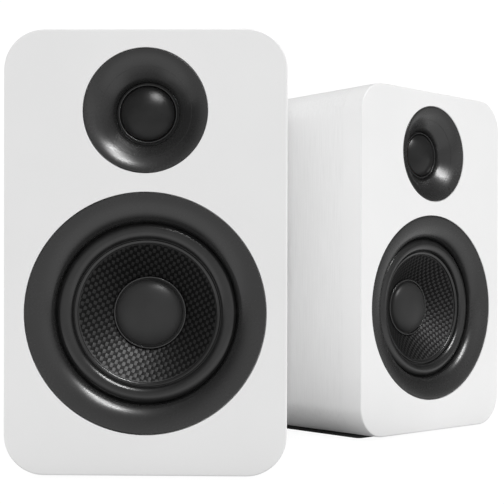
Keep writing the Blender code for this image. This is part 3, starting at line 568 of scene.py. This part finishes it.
def cabinet(side):
    shell = rectangle(MIDDLE, HALF_WIDTH, HALF_HEIGHT, CORNER, 16)
    inside = rectangle(MIDDLE, HALF_WIDTH - WALL, HALF_HEIGHT - WALL, CORNER - WALL, 16)

    def stepped(centre, steps):
        """A round hole through the baffle, as (radius, depth at which it ends) from the front back."""
        depth = FRONT
        rings = []
        for number, (radius, until) in enumerate(steps):
            edges = (0.08, 0) if number == 0 else (0, 0)
            rings += edge_rings(circle(centre, radius, 192), depth, FRONT + until, edges, True)
            depth = FRONT + until
        return rings

    thickness = BAFFLE_BACK - FRONT - SEAM
    front = solid(
        edge_rings(shell, FRONT, BAFFLE_BACK - SEAM, (FRONT_EDGE, 0), steps=5),
        [
            stepped(WOOFER, [(60, REBATE_DEPTH), (54.5, 13.1), (49, thickness)]),
            stepped(TWEETER, [(31, REBATE_DEPTH), (23.3, thickness)]),
        ],
    )
    piece("painted_front", front, side, PAINT, ["front_baffle"])
    sleeve = solid(
        edge_rings(shell, BAFFLE_BACK + SEAM, REAR, (0, 0.6)),
        [edge_rings(inside, BAFFLE_BACK + SEAM, REAR, (0, 0.25), True)],
    )
    piece("painted_sleeve", sleeve, side, GRAINED, ["cabinet_wrap"])
    low, high = box_mm("active_base_pad")
    pad = rectangle((0, 0), high.x, high.y, 4.0)
    foot = solid(edge_rings(pad, low.z, high.z, (0.5, 0.2)), axes="xyz")
    piece("rubber_foot", foot, side, FOOT, ["base_pad"])


def rear_panel(side):
    inset = WALL + FIT
    outline = rectangle(MIDDLE, HALF_WIDTH - inset, HALF_HEIGHT - inset, CORNER - inset, 12)
    front = REAR - PANEL_THICKNESS
    holes = [edge_rings(circle(PORT, 21.9), REAR, front, (0.2, 0), True)]
    if side == "active":
        low, high = box_mm("active_amp_plate")
        middle = (0, (low.z + high.z) / 2)
        rebate = rectangle(middle, high.x + FIT, (high.z - low.z) / 2 + FIT, 4.3)
        through = rectangle(middle, high.x - 5.7, (high.z - low.z) / 2 - 5.7, 0.5)
        ledge = REAR - 2.3
        holes.append(
            edge_rings(rebate, REAR, ledge, (0.2, 0), True) + edge_rings(through, ledge, front, (0, 0), True)
        )
    else:
        opening = rectangle(TERMINALS, 19.5, 11.5, 0.5)
        holes.append(edge_rings(opening, REAR, front, (0, 0), True))
    panel = solid(edge_rings(outline, REAR, front, (0.3, 0)), holes)
    piece("painted_rear", panel, side, PAINT, ["rear_panel"])


def shade_felt_lining(side):
    """Dark felt on the inner walls and on the back of the baffle, as seen through the port. Such felt is real
    damping, but this lining is also painted shade: it keeps the inside dark where the shadowless fill light
    reaches it.
    """
    gap, thickness = 0.2, 3.0
    near, far = BAFFLE_BACK + gap, REAR - PANEL_THICKNESS - gap

    def inner(inset, radius):
        return rectangle(MIDDLE, HALF_WIDTH - WALL - inset, HALF_HEIGHT - WALL - inset, radius, 8)

    def wall(outline, end, hole=False):
        return edge_rings(outline, near, end, (0, 0), hole)

    walls = solid(
        wall(inner(gap, CORNER - WALL - gap), far), [wall(inner(gap + thickness, 1.0), far, True)]
    )
    openings = [circle(WOOFER, 52), circle(TWEETER, 26)]
    end = near + thickness
    back = solid(wall(inner(2 * gap + thickness, 1.0), end), [wall(hole, end, True) for hole in openings])
    piece("shade_felt_lining", together([walls, back]), side, SHADE_FELT)


def port(side):
    """The port's flared mouth, with a rounded flange on the panel."""
    flare = arc((22, -12.5), 7, 15, 180, 92, 18)
    flange = [(22, 2.5), (24.9, 2.5), (25.6, 2.2), (26, 1.5), (26, 0.3)]
    back = [(21.5, 0.3), (21.5, -2), (17, -12), (17, -70)]
    shape = lathe([(15, -70)] + flare + flange + back, PORT, REAR, 128)
    piece("flared_port", shape, side, BLACK, ["port_tube"])


# ---------------------------------------------------------------- drivers


def woofer(side):
    centre = WOOFER
    ring = [(59.5, 4.0), (59.5, 0.20), (59.42, 0.06)] + arc((60, 7.4), 14, -7.4, 93, 180, 32)
    ring += [(46, 8.2), (46.3, 8.5), (54, 8.5), (54, 4.0)]
    trim = lathe(ring, centre, FRONT, 224)
    piece("trim_ring", trim, side, PLASTIC, ["woofer_trim_ring"])

    front = [(52.5, 9.9), (52.5, 9.3), (46.0, 9.3), (45.5, 9.22)] + arc((41.2, 9.3), 4, -3, 4, 176, 28)
    front += [(37.22, 9.55), (37.1, 9.92), (36.85, 9.92), (36.72, 9.5), (36.55, 9.14), (36.3, 9.02)]
    front += [(36.0, 9.07), (35.2, 9.46), (34.95, 9.65), (34.8, 9.92), (34.85, 10.2)]
    back = [(35.6, 10.12), (36.5, 9.8), (36.74, 9.85), (36.8, 10.3), (37.2, 10.3), (37.5, 9.95)]
    back += arc((41.2, 9.9), 3.4, -2.4, 180, 0, 20)
    roll = piece(
        "rubber_roll", lathe(front + back, centre, FRONT, 224), side, RUBBER,
        ["woofer_surround"], None,
    )
    flexing(roll)

    # woven_cone also gives which faces take the shaded copy of the weave finish: painted shade.
    shape, level = woven_cone(centre)
    cone = piece(
        "woven_cone", shape, side, WEAVE_UPRIGHT_LIT, ["woofer_cone"], "woofer_motion", 60
    )
    cone.data.materials.append(WEAVE_LEVEL_SHADED)
    cone.data.polygons.foreach_set("material_index", level)
    dome = cap_arc(16.5, 21.6, 5.6, 30, 0.57)
    inner = cap_arc(16.0, 22.4, 5.4, 12, 0.57)[::-1]
    rolled_edge = [(16.62, 22.0), (16.7, 22.5), (16.95, 22.7), (17.6, 22.72), (17.6, 22.95)]
    cap = lathe(dome + rolled_edge + [(16.0, 22.95)] + inner, centre, FRONT, 160)
    piece("cap_dome", cap, side, CAP, ["woofer_dust_cap"], "woofer_motion")
    bead = arc((18.07, 21.72), 0.42, 0.38, 0, 342, 19)
    piece("cap_bead", lathe(bead, centre, FRONT, 192), side, CAP_RIM, (), "woofer_motion")

    neck, width, wave, half_thickness = 13.3, 20.2, 3.367, 0.22
    outward = [width * i / 72 for i in range(73)]
    middle = [(neck + r, 30.6 - 0.8 * min(1, r / 2) * cos(pi * r / wave)) for r in outward]
    disc = [(r, d - half_thickness) for r, d in middle]
    disc += [(r, d + half_thickness) for r, d in reversed(middle)]
    cloth_disc = lathe(disc, centre, FRONT, 128)
    spider = piece(
        "corrugated_spider", cloth_disc, side, SPIDER, ["woofer_spider"], None
    )
    flexing(spider)


def tow_height(x, z):
    """Height of a plain weave of flat tows, in millimetres, at most 0, and where the shaded copy of the
    cone's finish goes as painted shade.
    """
    u = (x * cos(WEAVE_TURN) + z * sin(WEAVE_TURN)) / TOW
    v = (-x * sin(WEAVE_TURN) + z * cos(WEAVE_TURN)) / TOW
    i, j = np.floor(u), np.floor(v)
    swing_up = TOW_SWING * np.cos(pi * (v - 0.5) + pi * i)
    swing_level = -TOW_SWING * np.cos(pi * (u - 0.5) + pi * j)

    def crown(value):
        off = 2.12 * np.abs(value - np.floor(value) - 0.5)
        return TOW_CROWN * (np.sqrt(np.clip(1 - off**2, 0, 1)) - 1)

    upright = swing_up + crown(u)
    level = swing_level + crown(v)
    height = np.maximum(np.maximum(upright, level), -TOW_SWING - 0.6 * TOW_CROWN) - TOW_SWING
    # Painted shade: the gaps beside each upright tow's flat take the dark copy of the finish, as the level
    # tows do.
    beside = np.abs(u - np.floor(u) - 0.5) > TOW_FLAT
    return height, (level > upright) | beside


def woven_cone(centre):
    """The cone: a straight-sided shell whose front carries the weave as real relief, and a plain rim."""
    count = 720
    rim, rim_depth, neck, neck_depth = 34.5, 10.7, 13.3, 26.2
    slope = (neck_depth - rim_depth) / (rim - neck)
    woven = np.linspace(34.6, 17.6, 82)
    radii = np.concatenate([[36.6, 36.55, 35.6, 34.9], woven, [16.0, neck]])
    angles = 2 * pi * np.arange(count) / count
    r, a = np.meshgrid(radii, angles, indexing="ij")
    x, z = r * np.cos(a), r * np.sin(a)
    depth = np.where(r > rim, rim_depth - (r - rim) * 0.381, rim_depth + (rim - r) * slope)
    shown = np.clip((34.7 - r) / 0.4, 0, 1) * np.clip((r - 17.2) / 0.4, 0, 1)
    height, level_tow = tow_height(x, z + centre[1])
    height = height * shown
    lean = 1 / sqrt(1 + slope**2)
    depth = depth - height * lean
    inward = height * lean * slope * shown
    x, z = x * (1 - inward / r), z * (1 - inward / r)
    front = np.stack([x + centre[0], FRONT + depth, z + centre[1]], -1)
    rings = list(front)
    for radius, behind in [(neck, 27.2), (24.0, 19.38), (rim, 11.7), (36.55, 10.9)]:
        x, z = radius * np.cos(angles), radius * np.sin(angles)
        rings.append(np.stack([x + centre[0], np.full(count, FRONT + behind), z + centre[1]], -1))
    vertices = np.concatenate(rings)
    numbers = np.arange(len(vertices)).reshape(len(rings), count)
    near, far = numbers, np.roll(numbers, -1, axis=0)
    faces = np.stack([near, np.roll(near, -1, axis=1), np.roll(far, -1, axis=1), far], -1).reshape(-1, 4)
    # Faces marked here take the darker, duller copy of the weave finish: painted shade.
    low = np.zeros(numbers.shape, dtype=np.int32)
    low[: len(radii)] = level_tow & (shown > 0.5)
    corners = low.ravel()[faces]
    return (vertices.tolist(), faces.tolist()), (corners.sum(axis=1) > 2).astype(np.int32)


def dish(point, tilt, bends, steps=12):
    """Points that start at one point and bend inward and back, through arcs of (radius, tilt at its end)."""
    points = []
    for radius, end in bends:
        centre = (point[0] + radius * sin(radians(tilt)), point[1] + radius * cos(radians(tilt)))
        points += arc(centre, radius, -radius, 90 + tilt, 90 + end, steps)[bool(points) :]
        point, tilt = points[-1], end
    return points


def tweeter(side):
    centre = TWEETER
    bends = [(7, 18), (14, 34), (30, 40), (66, 46), (6.5, 80)]
    horn = [(30.5, 4.0), (30.5, 0.20), (30.42, 0.06)] + dish((30.36, 0.02), 4, bends, 10)
    horn += [(15.75, 12.6), (15.75, 14.5), (22.5, 14.5), (22.5, 4.0)]
    plate = lathe(horn, centre, FRONT, 192)
    piece("horn_plate", plate, side, PLASTIC, ["tweeter_waveguide"])

    dome = cap_arc(13.3, 11.3, 4.7, 28)
    inner = cap_arc(12.9, 11.7, 4.7, 12)[::-1]
    piece(
        "silk_dome", lathe(dome + inner, centre, FRONT, 160), side, SILK,
        ["tweeter_dome"], "tweeter_motion",
    )
    ring = [(13.42, 12.25), (13.42, 11.42), (13.7, 12.05), (13.95, 12.55), (14.15, 12.75), (15.6, 12.75)]
    ring += [(15.6, 14.5), (15.1, 14.5), (15.1, 13.25), (14.05, 13.15), (13.65, 12.75)]
    roll = piece(
        "dome_roll", lathe(ring, centre, FRONT, 160), side, SILK, ["tweeter_surround"], None
    )
    flexing(roll)
    bead = arc((14.45, 11.25), 0.27, -0.27, 200, -20, 14) + [(14.7, 12.7), (14.2, 12.7)]
    piece("throat_ring", lathe(bead, centre, FRONT, 192), side, CAP_RIM)


# ---------------------------------------------------------------- rear fittings


def screws(name, places, side, level, radius=3.0, height=1.5):
    """Pan-head screws with a cross recess, each turned its own way."""
    heads = []
    for number, (x, z) in enumerate(places):
        arm, width = radius * 0.58, radius * 0.16
        cross = [
            (width, width), (width, arm), (-width, arm), (-width, width), (-arm, width), (-arm, -width),
            (-width, -width), (-width, -arm), (width, -arm), (width, -width), (arm, -width), (arm, width),
        ]
        recess = polygon(tilted(cross, 37 * number + 11))
        rim = edge_rings(circle((0, 0), radius, 36), level + height, level, (height * 0.62, 0), steps=5)
        floor = level + height - radius * 0.36
        wall = [(recess(), level + height), (recess(-width * 0.3), floor)]
        head = solid(rim, (), [wall])
        heads.append(moved(head, Matrix.Translation((x, 0, z))))
    piece(name, together(heads), side, SCREW)


def terminal_block(side):
    x, z = TERMINALS
    flange = rectangle(TERMINALS, 22, 14, 3)
    core = rectangle(TERMINALS, 19, 11, 0.5)
    top, under = REAR + 2.8, REAR + FIT
    outer = edge_rings(flange, top, under, (0.7, 0)) + [(core(), under), (core(), REAR - 13.7)]
    slots = []
    for shift in (-9, 9):
        slot = rectangle((x + shift, z), 7, 9.5, 1.0)
        slots.append(edge_rings(slot, top, REAR - 10, (0.4, 0), True))
    piece("terminal_frame", solid(outer, (), slots), side, BLACK, ["terminal_block"])
    corners = [(x + a, z + b) for a, b in ((-19.3, 11.3), (19.3, 11.3), (19.3, -11.3), (-19.3, -11.3))]
    screws("terminal_screws", corners, side, top, 1.5, 0.8)
    for colour, shift, material, slot in (
        ("red", -9, RED, "red_plastic"),
        ("black", 9, BLACK, "black_plastic"),
    ):
        foot = arc((0, 0), 1.8, 1.8, 180, 360, 10)
        pad = [(1.8, 6.2)]
        for rib in range(4):
            low = 6.6 + rib * 1.15
            pad += [(1.8 + rib * 0.10, low), (2.25 + rib * 0.10, low + 0.25), (2.25 + rib * 0.10, low + 0.55)]
            pad += [(1.85 + rib * 0.10, low + 0.8)]
        tip = [(2.9, 12.0), (2.75, 12.7), (2.3, 13.15), (1.4, 13.2), (0.4, 13.1), (-1.2, 11.9), (-1.8, 10.8)]
        shape = polygon(tilted(foot + pad + tip, -20, (REAR - 2.2, z - 6.0)))
        sides = edge_rings(shape, x + shift - 6.3, x + shift + 6.3, (0.18, 0.18), steps=2)
        node, body = f"terminal_lever_{colour}", f"{colour}_lever"
        piece(f"lever_{colour}", solid(sides, axes="yzx"), side, material, [node], body, 30)


def amp_plate():
    low, high = box_mm("active_amp_plate")
    middle = (0, (low.z + high.z) / 2)
    outline = rectangle(middle, high.x, (high.z - low.z) / 2, 4)
    holes = [
        (circle(spot("active_volume_knob"), 4.6, 48), 0.2),
        (circle(spot("active_aux_jack"), 4.4, 48), 0.2),
        (circle(spot("active_rca_jack_left"), 5.9, 48), 0.2),
        (circle(spot("active_rca_jack_right"), 5.9, 48), 0.2),
        (rectangle(TERMINALS, 19.5, 11.5, 0.4), 0.1),
        (rectangle(spot("active_switch_housing"), 6.6, 10.1, 0.4), 0.1),
        (rectangle(spot("active_power_inlet"), 10.1, 6.1, 0.4), 0.1),
    ]
    walls = [edge_rings(shape, high.y, low.y, (edge, 0), True) for shape, edge in holes]
    plate = solid(edge_rings(outline, high.y, low.y, (0.3, 0)), walls)
    piece("coated_plate", plate, "active", PANEL, ["amp_plate"])
    left, bottom, top = -high.x + 4.5, low.z + 4.5, high.z - 4.5
    places = [(left, bottom), (0, bottom), (-left, bottom), (left, middle[1]), (-left, middle[1])]
    places += [(left, top), (0, top), (-left, top)]
    screws("plate_screws", places, "active", REAR, 2.9, 1.5)


def volume_control():
    centre = spot("active_volume_knob")
    profile = [(3.3, 10.9), (3.3, 1.4), (10.2, 1.4), (10.9, 1.8), (11, 2.4), (11, 6), (11, 10), (11, 11.2)]
    profile += [(11, 11.9), (10.95, 12.6), (10.8, 13.2), (10.55, 13.7), (10.2, 14.1), (9.8, 14.32)]
    profile += [(9.4, 14.4), (9.0, 14.3), (8.7, 14.05), (8.4, 13.9), (6.0, 13.82), (3.0, 13.78)]
    profile += [(0, 13.76), (0, 10.9)]
    depths = [0, 0, 0, 0.15, 0.5, 0.5, 0.5, 0.45, 0.2] + [0] * (len(profile) - 9)
    knob = lathe(profile, centre, REAR, 288, (36, depths))
    piece("fluted_knob", knob, "active", BLACK, ["volume_knob"], "volume_control", 32)
    pointer = rectangle((centre[0], centre[1] + 6.6), 0.55, 2.6, 0.5)
    bar = solid(edge_rings(pointer, REAR + 14.15, REAR + 13.5, (0.12, 0)))
    piece("knob_pointer", bar, "active", PRINT, (), "volume_control")
    ticks = []
    for number in range(11):
        turn = Matrix.Rotation(radians(-150 + 30 * number), 4, "Y")
        reach = 0.9 if number % 5 == 0 else 0.55
        mark = rectangle((0, 13.6 + reach), 0.22, reach, 0.1, 2)
        tick = solid(edge_rings(mark, REAR + 0.06, REAR - 0.2, (0, 0)))
        ticks.append(moved(tick, Matrix.Translation((centre[0], 0, centre[1])) @ turn))
    piece("dial_marks", together(ticks), "active", PRINT)


def sockets():
    for node, ring in (("rca_jack_left", WHITE_RING), ("rca_jack_right", RED_RING)):
        centre = spot(f"active_{node}")
        sleeve = [(3.55, -4), (5.5, -4), (5.5, 0.1), (5.5, 1.75), (5.35, 1.95), (4.35, 1.95), (4.2, 2.1)]
        sleeve += [(4.2, 9.0), (4.05, 9.4), (3.85, 9.5), (3.65, 9.4), (3.55, 9.2)]
        piece(f"{node}_sleeve", lathe(sleeve, centre, REAR, 64), "active", NICKEL, [node])
        washer = [(5.6, 0.05), (7.0, 0.05), (7.0, 1.2), (6.7, 1.6), (5.6, 1.6)]
        core = [(0, -4), (3.5, -4), (3.5, 8.4), (3.3, 8.6), (1.9, 8.6), (1.7, 8.4), (1.7, -2), (0, -2)]
        rings = together([lathe(washer, centre, REAR, 64), lathe(core, centre, REAR, 64)])
        piece(f"{node}_insulator", rings, "active", ring)
        contact = [(1.0, -1.9), (1.55, -1.9), (1.55, 7.4), (1.3, 7.6), (1.0, 7.4)]
        piece(f"{node}_contact", lathe(contact, centre, REAR, 32), "active", NICKEL)
    centre = spot("active_aux_jack")
    collar = [(2.9, -14), (4.0, -14), (4.0, 0.3), (5.8, 0.3), (5.8, 1.2), (5.4, 1.6), (2.9, 1.6)]
    piece("aux_collar", lathe(collar, centre, REAR, 64), "active", BLACK, ["aux_jack"])
    barrel = [(1.8, -12), (2.8, -12), (2.8, 1.9), (2.65, 2.1), (2.0, 2.1), (1.8, 1.9)]
    piece("aux_barrel", lathe(barrel, centre, REAR, 48), "active", NICKEL)


def power_fittings():
    centre = spot("active_switch_housing")
    bezel, core = rectangle(centre, 8.0, 11.8, 2.0), rectangle(centre, 6.3, 9.8, 0.4)
    top, under, back_end = REAR + 2.0, REAR + FIT, REAR - 17
    outer = edge_rings(bezel, top, under, (0.6, 0)) + [(core(), under), (core(), back_end)]
    well = edge_rings(rectangle(centre, 5.2, 8.8, 0.5), top, REAR - 10.5, (0.3, 0), True)
    piece("switch_bezel", solid(outer, (), [well]), "active", BLACK, ["switch_housing"])
    lower = [(0.5, -8.3, 0.3), (-3.0, -8.3, 0.5), (-2.2, 0.0, 2.0), (-3.0, 8.3, 0.5), (0.5, 8.3, 0.3)]
    profile = [(-a, b) for a, b in rounded(lower + [(4.5, 4.0, 1.5), (5.8, 0, 3.0), (4.5, -4.0, 1.5)], 6)]
    shape = polygon(tilted(profile, 8, (REAR - 0.8, centre[1])))
    rocker = solid(edge_rings(shape, centre[0] - 4.9, centre[0] + 4.9, (0.25, 0.25)), axes="yzx")
    piece("rocker_cap", rocker, "active", BLACK, ["power_rocker"], "power_switch", 30)

    centre = spot("active_power_inlet")
    flange, core = rectangle(centre, 13.0, 8.0, 2.0), rectangle(centre, 9.8, 5.8, 0.4)
    outer = edge_rings(flange, top, under, (0.6, 0)) + [(core(), under), (core(), back_end)]
    reach = 4.2
    figure_eight = []
    for side in (1, -1):
        start = 0 if side == 1 else 180
        for step in range(-14, 15):
            angle = radians(start + step * 9.6)
            figure_eight.append((centre[0] + side * reach + 4.5 * cos(angle), centre[1] + 4.5 * sin(angle)))
    well = edge_rings(polygon(figure_eight), top, REAR - 12.5, (0.25, 0), True)
    piece("inlet_socket", solid(outer, (), [well]), "active", BLACK, ["power_inlet"])
    pins = []
    for shift in (-reach, reach):
        pin = [(0, -2.9), (0.7, -2.95), (1.1, -3.3), (1.2, -3.9), (1.2, -12.6), (0, -12.6)]
        pins.append(lathe(pin, (centre[0] + shift, centre[1]), REAR, 32))
    piece("inlet_pins", together(pins), "active", NICKEL)


# ---------------------------------------------------------------- the two speakers

for speaker in SIDES:
    cabinet(speaker)
    rear_panel(speaker)
    shade_felt_lining(speaker)
    port(speaker)
    woofer(speaker)
    tweeter(speaker)
    terminal_block(speaker)
amp_plate()
volume_control()
sockets()
power_fittings()

for node, obj in frame["nodes"].items():
    kind = node.split("_", 1)[1]
    if kind in CAD_FINISHES:
        for slot in obj.material_slots:
            slot.material = CAD_FINISHES[kind]


# ---------------------------------------------------------------- camera, floor and light

LENS = 79.76
FRAME_SHIFT = (-0.00099, 0.0804)
CAMERA_PLACE = (0.0666, -0.6359, 0.0954)
CAMERA_YAW, CAMERA_PITCH, CAMERA_ROLL = 0.0249, 0.0053, 0.0025

# The studio's light by direction: a base, and lobes of (direction, sharpness, strength)
FRONTWARD, RIGHTWARD, UPWARD = (0, -1, -0.3), (1, 0, 0.05), (0, 0, 1)
RIGHT_FRONT, LEFT_FRONT = (0.83, -0.555, 0.05), (-0.6, -0.8, 0)
MATT_LIGHT = (0.80, [(RIGHTWARD, 2.5, 1.78), (UPWARD, 2.0, 0.55)])
GLOSS_LIGHT = (
    0.03,
    [(FRONTWARD, 2.3, 1.0), (RIGHT_FRONT, 5.0, 1.0), (LEFT_FRONT, 8.0, 0.35), (UPWARD, 5.0, 0.55)],
)
BACKDROP = 1.04

# The floor's light, as (near, far, from, to), with the distances in metres
FLOOR_CONTACT = (0.62, 0.85, 0.0, 0.012)
FLOOR_BETWEEN = (0.12, 0.85, 0.03, 0.12)
FLOOR_GLOSS = (0.03, 1.2, 0.015, 0.10)
FLOOR_FAR = (1.2, 0.75, 0.25, 0.6)
FLOOR_GLOW, FLOOR_TONE = 0.93, 0.11
FLOOR_REACH = 30.0

TARGET = Vector((0.05, -0.02, 0.11))
KEY = Vector((0.28, -0.48, 0.83)) * 1.6  # from the target to the lamps
FILL_WAY, FILL_POWER, FILL_ANGLE = Vector((1, 0, -0.15)), 0.70, 0.5


def add_camera():
    data = bpy.data.cameras.new("camera")
    data.sensor_width = 36.0
    data.lens = LENS
    data.shift_x, data.shift_y = FRAME_SHIFT
    data.clip_start = 0.01
    data.dof.use_dof = False
    camera = bpy.data.objects.new("camera", data)
    bpy.context.scene.collection.objects.link(camera)
    turn = Matrix.Rotation(CAMERA_YAW, 4, "Z") @ Matrix.Rotation(pi / 2 - CAMERA_PITCH, 4, "X")
    camera.matrix_world = Matrix.Translation(CAMERA_PLACE) @ turn @ Matrix.Rotation(CAMERA_ROLL, 4, "Z")
    bpy.context.scene.camera = camera


def outside_footprint(nodes, side):
    """How far a point on the floor is outside a speaker's outline, in metres."""
    inverse = PLACE[side].inverted()
    to_speaker = {"Rotation": (0, 0, inverse.to_euler().z), "Location": inverse.translation}
    local = nodes.add("ShaderNodeMapping", {"Vector": nodes.place, **to_speaker})
    size = nodes.add("ShaderNodeVectorMath", {0: local.outputs[0]}, operation="ABSOLUTE")
    half = (HALF_WIDTH * MM, REAR * MM, 0)
    beyond = nodes.add("ShaderNodeVectorMath", {0: size.outputs[0], 1: half}, operation="SUBTRACT")
    kept = nodes.add("ShaderNodeVectorMath", {0: beyond.outputs[0], 1: (0, 0, 0)}, operation="MAXIMUM")
    return nodes.add("ShaderNodeVectorMath", {0: kept.outputs[0]}, operation="LENGTH").outputs["Value"]


def add_floor():
    """A pale floor. What it gives back to the speakers falls off near them and between them."""
    mesh = bpy.data.meshes.new("floor")
    corners = [(FLOOR_REACH * a, FLOOR_REACH * b, 0) for a, b in ((-1, -1), (1, -1), (1, 1), (-1, 1))]
    mesh.from_pydata(corners, [], [(0, 1, 2, 3)])
    floor = bpy.data.objects.new("floor", mesh)
    bpy.context.scene.collection.objects.link(floor)
    nodes = Nodes("pale_floor", 0.9)
    tree = nodes.tree
    seen = nodes.add("ShaderNodeLightPath").outputs["Is Camera Ray"]
    glow = nodes.add("ShaderNodeEmission", {"Color": (1, 1, 1, 1), "Strength": FLOOR_GLOW})
    pale = nodes.add("ShaderNodeBsdfDiffuse", {"Color": (*grey(FLOOR_TONE), 1)})
    shown = nodes.add("ShaderNodeAddShader", {0: glow.outputs[0], 1: pale.outputs[0]})
    distances = [outside_footprint(nodes, side) for side in SIDES]
    away = nodes.math("MINIMUM", *distances)
    apart = nodes.math("ADD", *distances)
    glossy = nodes.add("ShaderNodeLightPath").outputs["Is Glossy Ray"]
    contact, between = nodes.stretch(away, *FLOOR_CONTACT), nodes.stretch(apart, *FLOOR_BETWEEN)
    matt_light = nodes.math("MINIMUM", contact, between)
    near_gloss, far_gloss = nodes.stretch(away, *FLOOR_GLOSS), nodes.stretch(away, *FLOOR_FAR)
    gloss_light = nodes.math("MINIMUM", near_gloss, far_gloss)
    light = nodes.add("ShaderNodeMix", {0: glossy, 2: matt_light, 3: gloss_light}).outputs[0]
    lit = nodes.add("ShaderNodeEmission", {"Color": (1, 1, 1, 1), "Strength": light})
    both = nodes.add("ShaderNodeMixShader", {0: seen, 1: lit.outputs[0], 2: shown.outputs[0]})
    tree.links.new(both.outputs[0], tree.nodes["Material Output"].inputs["Surface"])
    tree.nodes.remove(nodes.shader)
    mesh.materials.append(nodes.material)


def add_area(name, size, power, matt=True):
    """A soft lamp above the front, aimed at the speakers, for gloss alone where matt is false."""
    data = bpy.data.lights.new(name, "AREA")
    data.shape = "ELLIPSE"
    data.size, data.size_y = size
    data.energy = power
    light = bpy.data.objects.new(name, data)
    bpy.context.scene.collection.objects.link(light)
    light.visible_diffuse = matt
    light.location = TARGET + KEY
    light.rotation_euler = (-KEY).to_track_quat("-Z", "Y").to_euler()


def add_fill():
    """Weak light from the left that casts no shadow, so the front speaker doesn't block it."""
    data = bpy.data.lights.new("fill", "SUN")
    data.energy = FILL_POWER
    data.angle = FILL_ANGLE
    data.use_shadow = False
    fill = bpy.data.objects.new("fill", data)
    bpy.context.scene.collection.objects.link(fill)
    fill.rotation_euler = FILL_WAY.to_track_quat("-Z", "Y").to_euler()
    fill.visible_glossy = False


def add_world():
    """A white backdrop, and soft light by direction, which differs for matt and for glossy surfaces."""
    world = bpy.data.worlds.new("studio")
    bpy.context.scene.world = world
    world.use_nodes = True
    tree = world.node_tree
    new, link = tree.nodes.new, tree.links.new
    direction = new("ShaderNodeTexCoord").outputs["Generated"]
    path = new("ShaderNodeLightPath")

    def light(base, lobes):
        total = base
        for toward, sharpness, strength in lobes:
            dot = new("ShaderNodeVectorMath")
            dot.operation = "DOT_PRODUCT"
            link(direction, dot.inputs[0])
            dot.inputs[1].default_value = Vector(toward).normalized()
            facing, shaped, added = (new("ShaderNodeMath") for _ in range(3))
            facing.operation, shaped.operation, added.operation = "MAXIMUM", "POWER", "MULTIPLY_ADD"
            link(dot.outputs["Value"], facing.inputs[0])
            facing.inputs[1].default_value = 0.0
            link(facing.outputs[0], shaped.inputs[0])
            shaped.inputs[1].default_value = sharpness
            link(shaped.outputs[0], added.inputs[0])
            added.inputs[1].default_value = strength
            if isinstance(total, float):
                added.inputs[2].default_value = total
            else:
                link(total, added.inputs[2])
            total = added.outputs[0]
        background = new("ShaderNodeBackground")
        link(total, background.inputs["Strength"])
        return background.outputs[0]

    def choose(when, otherwise, then):
        mix = new("ShaderNodeMixShader")
        link(when, mix.inputs[0])
        link(otherwise, mix.inputs[1])
        link(then, mix.inputs[2])
        return mix.outputs[0]

    backdrop = tree.nodes["Background"]
    backdrop.inputs["Color"].default_value = (1, 1, 1, 1)
    backdrop.inputs["Strength"].default_value = BACKDROP
    matt, glossy = light(*MATT_LIGHT), light(*GLOSS_LIGHT)
    lit = choose(path.outputs["Is Glossy Ray"], matt, glossy)
    shown = choose(path.outputs["Is Camera Ray"], lit, backdrop.outputs[0])
    link(shown, tree.nodes["World Output"].inputs["Surface"])


add_camera()
add_floor()
add_world()
add_area("key", (0.5, 0.5), 1.6)
add_area("sparkle", (0.70, 0.44), 46.0, False)
add_fill()
bpy.context.scene.view_settings.view_transform = "Standard"
